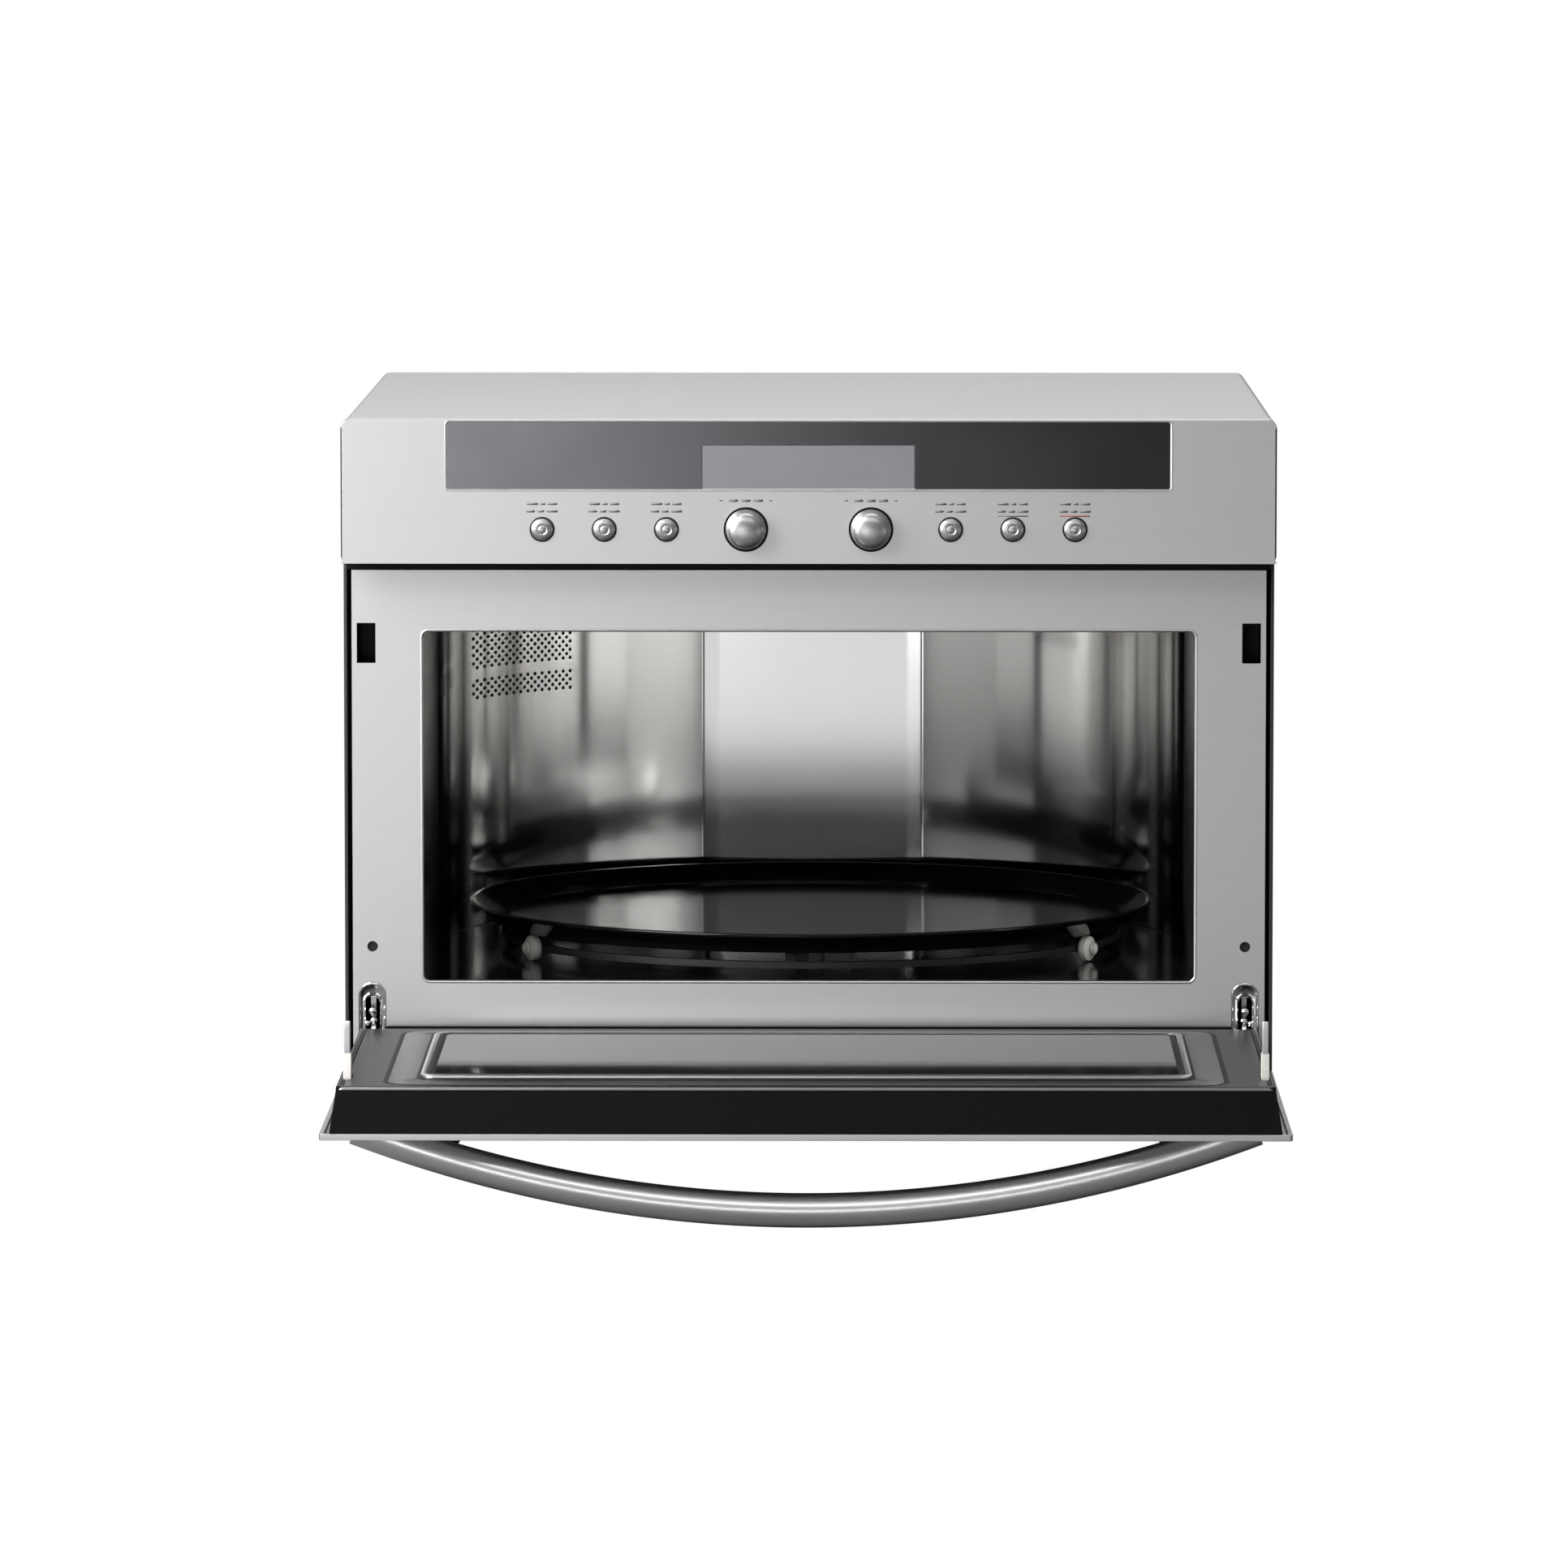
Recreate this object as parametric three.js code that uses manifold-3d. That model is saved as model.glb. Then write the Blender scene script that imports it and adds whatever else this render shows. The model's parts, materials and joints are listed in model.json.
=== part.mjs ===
// Countertop microwave oven with a drop-down door, standing with its door open.
// Millimetres, +Z up, -Y towards the person who uses it. Heights are above the table, and
// depths are measured back from the front frame until the last lines centre the whole.

import * as THREE from 'three';
import { mergeVertices } from 'three/addons/utils/BufferGeometryUtils.js';
import Module from 'manifold-3d';

const wasm = await Module();
wasm.setup();

// ---- Driving dimensions: the whole oven ----
const WIDTH = 527; // wrap cover, control fascia and door
const HEIGHT = 428; // table to the top of the control fascia
const BODY_DEPTH = 465; // front frame to the back of the rear panel
const SHEET = 1.2; // body sheet metal
const GAP = 0.3; // between neighbouring pieces
const CORNER_RADIUS = 5;
const FLANGE = 24; // height of the base pan's turned-up edges

// ---- Feet ----
const FOOT_HEIGHT = 20;
const FOOT_RADIUS = 17;
const FOOT_INSET = 45; // foot axis from the side of the body
const FRONT_FOOT_SETBACK = 105;
const REAR_FOOT_SETBACK = 45;

// ---- Front frame ----
const FRAME_INSET = 4.5; // frame edge from the side of the body
const FRAME_DROP = 5.8; // frame top below the fascia
const FRAME_LIP = 12;
const PLINTH_SETBACK = 2.5;
const LATCH_SLOT = { inset: 12.7, drop: 44.3, width: 10.6, height: 22.7 };
const PEEP_HOLE = { inset: 15.7, height: 126.7, radius: 3 };
const LATCH_WALL = 1.5;
const HINGE_SLOT = { inset: 15.5, width: 15.7, above: 33.4, foot: 2 };

// ---- Cavity ----
const SIDE_BAY = 44.1; // body side to the cavity
const REAR_BAY = 40.5; // cavity to the back of the body
const TOP_BAY = 98.5; // cavity ceiling to the top of the fascia
const CAVITY_FLOOR = 104.5;
const REAR_FLAT = 9.9; // how far the flat cuts into the round rear wall
const MOUTH = { sill: 2.1, drop: 40.1, radius: 4 }; // drop: below the fascia
const FEED = { width: 70, depth: 60, cover: 8 }; // microwave feed in the ceiling

// ---- Control fascia ----
const FASCIA_HEIGHT = 81;
const FASCIA_PROUD = 30; // ahead of the front frame
const FASCIA_FACE = 4; // thickness of its front wall
const FASCIA_WALL = 2;
const GLASS = { width: 407.2, foot: 42, topMargin: 1, thick: 2.7 }; // foot: above the fascia's lower edge
const DISPLAY = { width: 119.2, top: 13.2, rise: 0.6 }; // margins inside the glass
const CONTROL_RISE = 19.4; // fascia's lower edge to the line of knobs and buttons
const BOARD = { width: 346, edgeRoom: 7.5, thick: 1.6, standoff: 8.5 };
const KNOB = { spread: 70.4, radius: 11.2, skirtRadius: 12.3, proud: 12, shaftRadius: 3 };
const BUTTON = { first: 80, pitch: 35, radius: 6.7, proud: 3, travel: 1.5, flange: 1.2 };

// ---- Turntable ----
const TRAY = { sideRoom: 18.8, frontRoom: 14.4, rearRoom: 8.9, rimHeight: 12.2, rimWidth: 13, floorThick: 2 };
const ROLLER = { radius: 7.4, width: 6, inset: 14.6, axleRadius: 1.5, axleClearance: 0.4 };
const RING = { width: 4, thick: 4 };
const MOTOR = { radius: 25, height: 16, shaftRadius: 3, shaftRise: 8 };
const COUPLER = { hubRadius: 9, armReach: 24, armWidth: 7 };

// ---- Door ----
const DOOR_BOTTOM = 65; // lower edge when it is shut
const DOOR_CLEARANCE = 3; // below the fascia when it is shut
const PIVOT_RISE = 8; // hinge axis above the door's lower edge
const PIVOT_PROUD = 9.7; // hinge axis ahead of the front frame
const DOOR_INNER = 9; // inner face behind the hinge axis
const DOOR_OUTER = 20.3; // outer face ahead of the hinge axis
const DOOR_PANEL = { skin: 1.2, rim: 2.5, rimDepth: 3.5 };
const DOOR_BODY = { inset: 5.5, innerInset: 9.5, topInset: 0.5, innerTopInset: 1.7 };
const WINDOW = { inset: 57.5, bottom: 47, top: 74, glassThick: 3 };
const CHOKE = { wall: 3.5, depth: 17 };
const OPEN_ANGLE = 90;
const HANDLE = { radius: 9.45, endInset: 29.7, reach: 50.9, down: 26 };
const HOOK = { inset: 13.5, thick: 4.4, reach: 31, drop: 39, height: 10, root: 12, shoulder: 0.8 };
const HINGE = { ear: 7.5, pin: 2.5, pinClearance: 0.4, arm: 3, cheek: 1.5, leaf: 18 };

// ---- Parts inside the body ----
const MAGNETRON = { width: 70, depth: 76, height: 58, antenna: 8 };
const WAVEGUIDE = { x: 65, width: 90, depth: 80, height: 30 };
const TRANSFORMER = { x: -160, width: 90, depth: 76, height: 70, behind: 45.5 };
const CAPACITOR = { x: -62, width: 50, depth: 90, height: 32, behind: 18.5 };
const FAN = { x: 135, radius: 36, frame: 86, depth: 22, blades: 5, hub: 11, motor: 36, motorDepth: 18 };
const LAMP = { x: 170, y: 140, width: 34, depth: 40, height: 30 };
const GLAND = { x: 205, up: 62, radius: 7, flange: 11, proud: 6, bore: 3.5 };

// ---- Derived places ----
const half = WIDTH / 2;
const bodyBottom = FOOT_HEIGHT + GAP;
const coverTop = HEIGHT - 0.5;
const innerHalf = half - SHEET - GAP;
const innerTop = coverTop - SHEET - GAP;
const innerBack = BODY_DEPTH - SHEET - GAP;
const fasciaBottom = HEIGHT - FASCIA_HEIGHT;
const controlLine = fasciaBottom + CONTROL_RISE;
const pivotZ = DOOR_BOTTOM + PIVOT_RISE;
const doorLow = -PIVOT_RISE;
const doorHigh = fasciaBottom - DOOR_CLEARANCE - pivotZ;
const frameHalf = half - FRAME_INSET;
const frameTop = fasciaBottom - FRAME_DROP;
const frameBottom = DOOR_BOTTOM - DOOR_CLEARANCE;
const latchX = half - LATCH_SLOT.inset;
const latchHeight = pivotZ + doorHigh - LATCH_SLOT.drop;
const hingeX = half - HINGE_SLOT.inset;
const hingeSlotTop = pivotZ + HINGE_SLOT.above;
const cavityHalf = half - SIDE_BAY;
const cavityDepth = BODY_DEPTH - REAR_BAY;
const cavityCeiling = HEIGHT - TOP_BAY;
const roundY = cavityDepth + REAR_FLAT - cavityHalf; // the rear wall is round about this depth
const bayFloor = cavityCeiling + 2 * GAP + SHEET; // the electrical bay stands on the ceiling sheet
const trayRadius = Math.min(cavityHalf - TRAY.sideRoom, (cavityDepth - TRAY.frontRoom - TRAY.rearRoom) / 2);
const rollerCircle = trayRadius - ROLLER.inset;
const turntableY = TRAY.frontRoom + trayRadius;
const feedY = cavityDepth / 2 - 2.25;

// ---- Materials ----
const finish = (color, metalness, roughness) =>
  new THREE.MeshStandardMaterial({ color, metalness, roughness });
const stainless = finish(0xb4b4b2, 0.9, 0.35);
const darkSteel = finish(0x6a6b6d, 0.8, 0.4);
const chrome = finish(0xd8d8d8, 1, 0.12);
const zinc = finish(0x9a9c9e, 0.8, 0.5);
const blackPaint = finish(0x111112, 0.1, 0.5);
const blackGlass = finish(0x17181a, 0, 0.08);
const displayFilm = finish(0x7c7d83, 0, 0.3);
const enamel = finish(0x0c0c0d, 0, 0.12);
const plastic = finish(0x1b1b1c, 0, 0.5);
const paleNylon = finish(0xd9d4ca, 0, 0.4);
const rubber = finish(0x151515, 0, 0.9);
const board = finish(0x2c5a36, 0, 0.6);
const copper = finish(0xa5622f, 0.7, 0.45);

// ---- Shapes ----
const WELD = 1e-4;
const ARC_STEPS = 3; // an arc has twice as many sides
const WIDE_ARC_STEPS = 10;
const ROUND = 24;

// Box between two corners.
const box = (x0, x1, y0, y1, z0, z1) =>
  new THREE.BoxGeometry(x1 - x0, y1 - y0, z1 - z0).translate(
    (x0 + x1) / 2, (y0 + y1) / 2, (z0 + z1) / 2);

// Box about a middle x, between depths and heights.
const block = (x, width, y0, y1, z0, z1) => box(x - width / 2, x + width / 2, y0, y1, z0, z1);

// Rectangle with its lower and its upper corners rounded.
function rounded(x0, x1, y0, y1, low, high = low) {
  const s = new THREE.Shape();
  s.moveTo(x0 + low, y0);
  if (low) s.absarc(x1 - low, y0 + low, low, -Math.PI / 2, 0);
  else s.lineTo(x1, y0);
  if (high) s.absarc(x1 - high, y1 - high, high, 0, Math.PI / 2);
  else s.lineTo(x1, y1);
  if (high) s.absarc(x0 + high, y1 - high, high, Math.PI / 2, Math.PI);
  else s.lineTo(x0, y1);
  if (low) s.absarc(x0 + low, y0 + low, low, Math.PI, Math.PI * 1.5);
  else s.lineTo(x0, y0);
  return s;
}

const polygon = (...points) => new THREE.Shape(points.map(([a, b]) => new THREE.Vector2(a, b)));

const extrude = (shape, depth, curveSegments = ARC_STEPS) =>
  new THREE.ExtrudeGeometry(shape, { depth, bevelEnabled: false, curveSegments });

// An outline in x and y, raised from z0 to z1.
const flat = (shape, z0, z1, steps) => extrude(shape, z1 - z0, steps).translate(0, 0, z0);

// An outline in x and z, running back from y0 to y1.
const upright = (shape, y0, y1) =>
  extrude(shape, y1 - y0).rotateX(Math.PI / 2).translate(0, y1, 0);

// An outline in y and z, running across from x0 to x1.
const CROSSWAYS = new THREE.Matrix4().set(0, 0, 1, 0, 1, 0, 0, 0, 0, 1, 0, 0, 0, 0, 0, 1);
const crossways = (shape, x0, x1) =>
  extrude(shape, x1 - x0).applyMatrix4(CROSSWAYS).translate(x0, 0, 0);

// A profile of [radius, height] pairs, from the axis outwards and up, turned about +Z.
const turned = (profile, sides = ROUND) =>
  new THREE.LatheGeometry(profile.map(([r, h]) => new THREE.Vector2(r, h)), sides)
    .rotateX(Math.PI / 2);
const rod = (radius, z0, z1, sides = ROUND) => turned([[0, z0], [radius, z0], [radius, z1], [0, z1]], sides);
// Rods along X and along -Y, from a to b on that axis.
const rodX = (radius, a, b, sides) => rod(radius, a, b, sides).rotateY(Math.PI / 2);
const rodOut = (radius, a, b, sides) => rod(radius, a, b, sides).rotateX(Math.PI / 2);

// ---- Joining and cutting ----
function solid(geometry) {
  const bare = new THREE.BufferGeometry();
  bare.setAttribute('position', geometry.getAttribute('position'));
  bare.setIndex(geometry.index);
  const merged = mergeVertices(bare, WELD);
  const mesh = new wasm.Mesh({
    numProp: 3,
    vertProperties: new Float32Array(merged.getAttribute('position').array),
    triVerts: new Uint32Array(merged.index.array),
  });
  return new wasm.Manifold(mesh);
}

function geometryOf(made) {
  const { vertProperties, triVerts } = made.getMesh();
  const geometry = new THREE.BufferGeometry();
  geometry.setAttribute('position', new THREE.BufferAttribute(new Float32Array(vertProperties), 3));
  geometry.setIndex(new THREE.BufferAttribute(new Uint32Array(triVerts), 1));
  geometry.computeVertexNormals();
  return geometry;
}

const join = (first, ...rest) =>
  geometryOf(rest.reduce((whole, next) => whole.add(solid(next)), solid(first)));
const cut = (from, ...tools) =>
  geometryOf(tools.reduce((left, tool) => left.subtract(solid(tool)), solid(from)));

// ---- The scene graph ----
const oven = new THREE.Group();

function piece(parent, name, geometry, material, x = 0, y = 0, z = 0) {
  const mesh = new THREE.Mesh(geometry, material.clone());
  mesh.name = name;
  mesh.position.set(x, y, z);
  parent.add(mesh);
  return mesh;
}

const SIDES = [['left', -1], ['right', 1]];

// ---- Casing ----
function coverSection() {
  const inner = half - SHEET;
  const roof = coverTop - SHEET;
  const bend = CORNER_RADIUS - SHEET;
  const s = new THREE.Shape();
  s.moveTo(half, bodyBottom);
  s.absarc(half - CORNER_RADIUS, coverTop - CORNER_RADIUS, CORNER_RADIUS, 0, Math.PI / 2);
  s.absarc(CORNER_RADIUS - half, coverTop - CORNER_RADIUS, CORNER_RADIUS, Math.PI / 2, Math.PI);
  s.lineTo(-half, bodyBottom);
  s.lineTo(-inner, bodyBottom);
  s.absarc(bend - inner, roof - bend, bend, Math.PI, Math.PI / 2, true);
  s.absarc(inner - bend, roof - bend, bend, Math.PI / 2, 0, true);
  s.lineTo(inner, bodyBottom);
  return s;
}

// A row of upright slots through a wall that stands between depths y0 and y1.
function slots(x, z, count, pitch, width, height, y0, y1) {
  return Array.from({ length: count }, (_, i) =>
    block(x + (i - (count - 1) / 2) * pitch, width, y0, y1, z - height / 2, z + height / 2));
}

const fanHeight = bayFloor + FAN.frame / 2;

function rearPanel() {
  const panel = upright(rounded(-half, half, bodyBottom, coverTop, 0, CORNER_RADIUS),
    BODY_DEPTH - SHEET, BODY_DEPTH);
  const [near, far] = [BODY_DEPTH - 3 * SHEET, BODY_DEPTH + SHEET];
  return cut(panel,
    ...slots(FAN.x, fanHeight, 7, 10, 4, 1.5 * FAN.radius, near, far),
    ...slots(TRANSFORMER.x, fanHeight, 7, 10, 4, 1.5 * FAN.radius, near, far),
    rodOut(GLAND.radius + GAP, -far, -near).translate(GLAND.x, 0, GLAND.up));
}

function basePan() {
  const front = PLINTH_SETBACK + SHEET + GAP;
  const top = bodyBottom + FLANGE;
  const pan = cut(box(-innerHalf, innerHalf, front, innerBack, bodyBottom, top),
    box(SHEET - innerHalf, innerHalf - SHEET, front + SHEET, innerBack - SHEET,
      bodyBottom + SHEET, top + SHEET));
  const middle = (front + innerBack) / 2;
  const vents = Array.from({ length: 9 }, (_, i) =>
    block((i - 4) * 14, 5, middle - 30, middle + 30, bodyBottom - 1, bodyBottom + 2 * SHEET));
  return cut(pan, ...vents);
}

function frontFrame() {
  const side = frameHalf;
  const sheet = box(-side, side, 0, FRAME_LIP, frameBottom, frameTop);
  const hollow = box(SHEET - side, side - SHEET, SHEET, FRAME_LIP + 1,
    frameBottom + SHEET, frameTop - SHEET);
  const mouth = upright(rounded(-cavityHalf, cavityHalf, CAVITY_FLOOR + MOUTH.sill,
    fasciaBottom - MOUTH.drop, MOUTH.radius), -1, 2 * SHEET);
  const tools = [hollow, mouth];
  for (const [, side] of SIDES) {
    const hinge = side * hingeX;
    tools.push(
      block(side * latchX, LATCH_SLOT.width, -1, 2 * SHEET,
        latchHeight - LATCH_SLOT.height / 2, latchHeight + LATCH_SLOT.height / 2),
      rodOut(PEEP_HOLE.radius, -2 * SHEET, 1, 20)
        .translate(side * (half - PEEP_HOLE.inset), 0, PEEP_HOLE.height),
      upright(rounded(hinge - HINGE_SLOT.width / 2, hinge + HINGE_SLOT.width / 2,
        frameBottom + HINGE_SLOT.foot, hingeSlotTop, 0, HINGE_SLOT.width / 2 - 0.01), -1, 2 * SHEET));
  }
  return cut(sheet, ...tools);
}

function addCasing(parent) {
  piece(parent, 'wrap_cover', upright(coverSection(), GAP, BODY_DEPTH - SHEET - GAP), stainless);
  piece(parent, 'rear_panel', rearPanel(), zinc);
  piece(parent, 'base_pan', basePan(), zinc);
  piece(parent, 'front_frame', frontFrame(), stainless);
  piece(parent, 'plinth', upright(rounded(-frameHalf, frameHalf, bodyBottom + SHEET, frameBottom - GAP, 0),
    PLINTH_SETBACK, PLINTH_SETBACK + SHEET), blackPaint);
  piece(parent, 'fascia_bracket',
    cut(upright(rounded(-innerHalf, innerHalf, frameTop + GAP, innerTop, 0, CORNER_RADIUS), GAP, GAP + SHEET),
      block(0, DISPLAY.width, -1, 2 * SHEET, fasciaBottom + 10, fasciaBottom + 30)), blackPaint);
  const gland = turned([[GLAND.bore, -2 * SHEET], [GLAND.radius, -2 * SHEET], [GLAND.radius, GAP],
    [GLAND.flange, GAP], [GLAND.flange, 2.5], [GLAND.radius, GLAND.proud], [GLAND.bore, GLAND.proud],
    [GLAND.bore, -2 * SHEET]], 16).rotateX(-Math.PI / 2);
  piece(parent, 'cord_gland', gland, plastic, GLAND.x, BODY_DEPTH, GLAND.up);
}

function addFeet(parent) {
  const foot = turned([[0, 0], [FOOT_RADIUS - 2, 0], [FOOT_RADIUS, 3], [FOOT_RADIUS - 2, FOOT_HEIGHT],
    [0, FOOT_HEIGHT]]);
  const rows = [['front', FRONT_FOOT_SETBACK], ['rear', BODY_DEPTH - REAR_FOOT_SETBACK]];
  for (const [row, y] of rows)
    for (const [name, side] of SIDES)
      piece(parent, `foot_${row}_${name}`, foot, rubber, side * (half - FOOT_INSET), y, 0);
}

// ---- Cavity ----
const flatRise = cavityDepth - roundY; // from the round's centre to the flat of the rear wall

// The cavity's plan, with its wall grown outwards.
function cavityPlan(grow, front) {
  const r = cavityHalf + grow;
  const turn = Math.asin((flatRise + grow) / r);
  const s = new THREE.Shape();
  s.moveTo(-r, front);
  s.lineTo(r, front);
  s.absarc(0, roundY, r, 0, turn);
  s.absarc(0, roundY, r, Math.PI - turn, Math.PI);
  return s;
}

function rearWallPlan() {
  const [inner, outer] = [cavityHalf, cavityHalf + SHEET];
  const innerTurn = Math.asin(flatRise / inner);
  const outerTurn = Math.asin((flatRise + SHEET) / outer);
  const s = new THREE.Shape();
  s.absarc(0, roundY, outer, 0, outerTurn);
  s.absarc(0, roundY, outer, Math.PI - outerTurn, Math.PI);
  s.absarc(0, roundY, inner, Math.PI, Math.PI - innerTurn, true);
  s.absarc(0, roundY, inner, innerTurn, 0, true);
  return s;
}

function addCavity(parent) {
  const front = SHEET + GAP;
  const [low, high] = [CAVITY_FLOOR + GAP, cavityCeiling];
  const shaftHole = rod(MOTOR.shaftRadius + 1, 0, HEIGHT).translate(0, turntableY, 0);
  piece(parent, 'cavity_floor',
    cut(flat(cavityPlan(SHEET, front), CAVITY_FLOOR - SHEET, CAVITY_FLOOR, WIDE_ARC_STEPS), shaftHole),
    enamel);
  const feed = block(WAVEGUIDE.x, FEED.width, feedY - FEED.depth / 2, feedY + FEED.depth / 2, high, bayFloor);
  piece(parent, 'cavity_ceiling',
    cut(flat(cavityPlan(SHEET, front), high + GAP, high + GAP + SHEET, WIDE_ARC_STEPS), feed), stainless);
  for (const [name, side] of SIDES)
    piece(parent, `cavity_side_${name}`,
      block(side * (cavityHalf + SHEET / 2), SHEET, front, roundY - GAP, low, high), stainless);
  piece(parent, 'cavity_rear_wall', flat(rearWallPlan(), low, high, WIDE_ARC_STEPS), stainless);
  piece(parent, 'waveguide_cover',
    block(WAVEGUIDE.x, FEED.width + 2 * FEED.cover, feedY - FEED.depth / 2 - FEED.cover,
      feedY + FEED.depth / 2 + FEED.cover, high - 0.6, high), paleNylon);
}

// ---- Control fascia ----
const glassTop = HEIGHT - GLASS.topMargin;
const glassBottom = fasciaBottom + GLASS.foot;
const displayBottom = glassBottom + DISPLAY.rise;
const displayTop = glassTop - DISPLAY.top;
const faceBack = FASCIA_FACE - FASCIA_PROUD; // depth of the front wall's inner side
const boardFront = faceBack + BOARD.standoff;
const boardMiddle = (fasciaBottom + HEIGHT) / 2;
const boardHeight = FASCIA_HEIGHT - 2 * BOARD.edgeRoom;
const boardShaftEnd = -(FASCIA_FACE + BOARD.standoff - 2);

const buttonPlaces = [-1, 1].flatMap((side) =>
  [0, 1, 2].map((i) => side * (BUTTON.first + i * BUTTON.pitch))).sort((a, b) => a - b);

function fascia() {
  const shell = upright(rounded(-half, half, fasciaBottom, HEIGHT, 1, CORNER_RADIUS), -FASCIA_PROUD, 0);
  const hollow = box(FASCIA_WALL - half, half - FASCIA_WALL, faceBack, 1,
    fasciaBottom + FASCIA_WALL, HEIGHT - FASCIA_WALL);
  const glassSeat = block(0, GLASS.width + 2 * GAP, -FASCIA_PROUD - 1, GAP + GLASS.thick - FASCIA_PROUD,
    glassBottom - GAP, glassTop + GAP);
  const shaftHoles = SIDES.map(([, side]) =>
    rodOut(KNOB.shaftRadius + 0.4, 0, FASCIA_PROUD + 1).translate(side * KNOB.spread / 2, 0, controlLine));
  const buttonHoles = buttonPlaces.map((x) =>
    rodOut(BUTTON.radius + GAP, 0, FASCIA_PROUD + 1).translate(x, 0, controlLine));
  const posts = [];
  for (const [, side] of SIDES)
    for (const rise of [-1, 1])
      posts.push(rodOut(2.5, -boardFront + GAP, 0.5 - faceBack, 12).translate(
        side * (BOARD.width / 2 - 6), 0, boardMiddle + rise * (boardHeight / 2 - 6)));
  return join(cut(shell, hollow, glassSeat, ...shaftHoles, ...buttonHoles), ...posts);
}

// The board with its two rotary encoders and a switch behind each button.
function controlBoard() {
  const [low, high] = [boardMiddle - boardHeight / 2, boardMiddle + boardHeight / 2];
  const sheet = block(0, BOARD.width, boardFront, boardFront + BOARD.thick, low, high);
  const encoders = SIDES.map(([, side]) =>
    cut(block(side * KNOB.spread / 2, 16, faceBack + GAP, boardFront + 0.5, controlLine - 8, controlLine + 8),
      rodOut(KNOB.shaftRadius + 0.4, 1 - boardFront, FASCIA_PROUD)
        .translate(side * KNOB.spread / 2, 0, controlLine)));
  const switches = buttonPlaces.map((x) =>
    block(x, 6, boardFront - 1, boardFront + 0.5, controlLine - 3, controlLine + 3));
  return join(sheet, ...encoders, ...switches);
}

function knob() {
  const { skirtRadius: skirt, radius: r, proud, shaftRadius: shaft } = KNOB;
  return turned([[0, boardShaftEnd], [shaft, boardShaftEnd], [shaft, GAP], [skirt, GAP],
    [skirt, 1.6], [r, 2.2],
    [r - 0.5, proud - 1.6], [r - 2.2, proud - 0.4], [0, proud]]).rotateX(Math.PI / 2);
}

function button() {
  const { radius: r, proud, travel, flange } = BUTTON;
  const back = -FASCIA_FACE - GAP;
  const stemEnd = -(FASCIA_FACE + BOARD.standoff - 1 - travel - 2 * GAP);
  return turned([[0, stemEnd], [2, stemEnd], [2, back - flange], [r + 0.9, back - flange], [r + 0.9, back],
    [r, back], [r, proud - 1.2], [r - 1.4, proud - 0.3], [0, proud]], 18).rotateX(Math.PI / 2);
}

function addFascia(parent) {
  piece(parent, 'control_fascia', fascia(), stainless);
  const [front, back] = [-FASCIA_PROUD, GLASS.thick - FASCIA_PROUD];
  const window = block(0, DISPLAY.width + 2 * GAP, front - 1, back + 1,
    displayBottom - GAP, displayTop + GAP);
  piece(parent, 'display_glass',
    cut(block(0, GLASS.width, front, back, glassBottom, glassTop), window), blackGlass);
  piece(parent, 'display_window',
    block(0, DISPLAY.width, front, back, displayBottom, displayTop), displayFilm);
  piece(parent, 'control_board', controlBoard(), board);
  for (const [name, side] of SIDES)
    piece(parent, `knob_${name}`, knob(), chrome, side * KNOB.spread / 2, front, controlLine);
  buttonPlaces.forEach((x, i) =>
    piece(parent, `button_${i + 1}`, button(), chrome, x, front, controlLine));
}

// ---- Electrical bay above the cavity ----
function magnetron() {
  const { width, depth, height, antenna } = MAGNETRON;
  const base = bayFloor + WAVEGUIDE.height + GAP;
  const x = WAVEGUIDE.x;
  const y = feedY;
  const fins = Array.from({ length: 6 }, (_, i) => base + 8 + i * 7).flatMap((z) =>
    [-1, 1].map((side) => block(x + side * width / 2, width / 2, y - depth, y + depth, z, z + 3.5)));
  const can = block(x, width, y - depth / 2, y + depth / 2, base, base + height);
  const tip = rod(antenna, base - WAVEGUIDE.height / 2, base + 1, 20).translate(x, y, 0);
  return join(cut(can, ...fins), tip);
}

function waveguide() {
  const { x, width, depth, height } = WAVEGUIDE;
  const y = feedY;
  const [z0, z1] = [bayFloor, bayFloor + height];
  return cut(block(x, width, y - depth / 2, y + depth / 2, z0, z1),
    block(x, width - 2 * SHEET, y - depth / 2 + SHEET, y + depth / 2 - SHEET, z0 - 1, z1 - SHEET),
    rod(MAGNETRON.antenna + GAP, z0, z1 + 1, 20).translate(x, y, 0));
}

function transformer() {
  const { x, width, depth, height, behind } = TRANSFORMER;
  const y = innerBack - behind - depth / 2;
  const z = bayFloor + height / 2;
  const core = block(x, width, y - depth / 4, y + depth / 4, bayFloor, bayFloor + height);
  const coil = upright(rounded(x - width / 3, x + width / 3, z - height / 4, z + height / 4, 8),
    y - depth / 2, y + depth / 2);
  return join(core, coil);
}

function fanHousing() {
  const middle = FAN.frame / 2;
  const [y0, y1] = [innerBack - FAN.depth, innerBack];
  const outer = block(FAN.x, FAN.frame, y0, y1, fanHeight - middle, fanHeight + middle);
  const bore = rodOut(FAN.radius + 1.5, -y1 - 1, -y0 + 1, 36).translate(FAN.x, 0, fanHeight);
  const arms = [block(FAN.x, FAN.frame - 4, y0, y0 + 2, fanHeight - 4, fanHeight + 4),
    block(FAN.x, 8, y0, y0 + 2, fanHeight - middle + 2, fanHeight + middle - 2)];
  const shaftHole = rodOut(4, -y0 - 4, -y0 + 1, 16).translate(FAN.x, 0, fanHeight);
  return cut(join(cut(outer, bore), ...arms), shaftHole);
}

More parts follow.
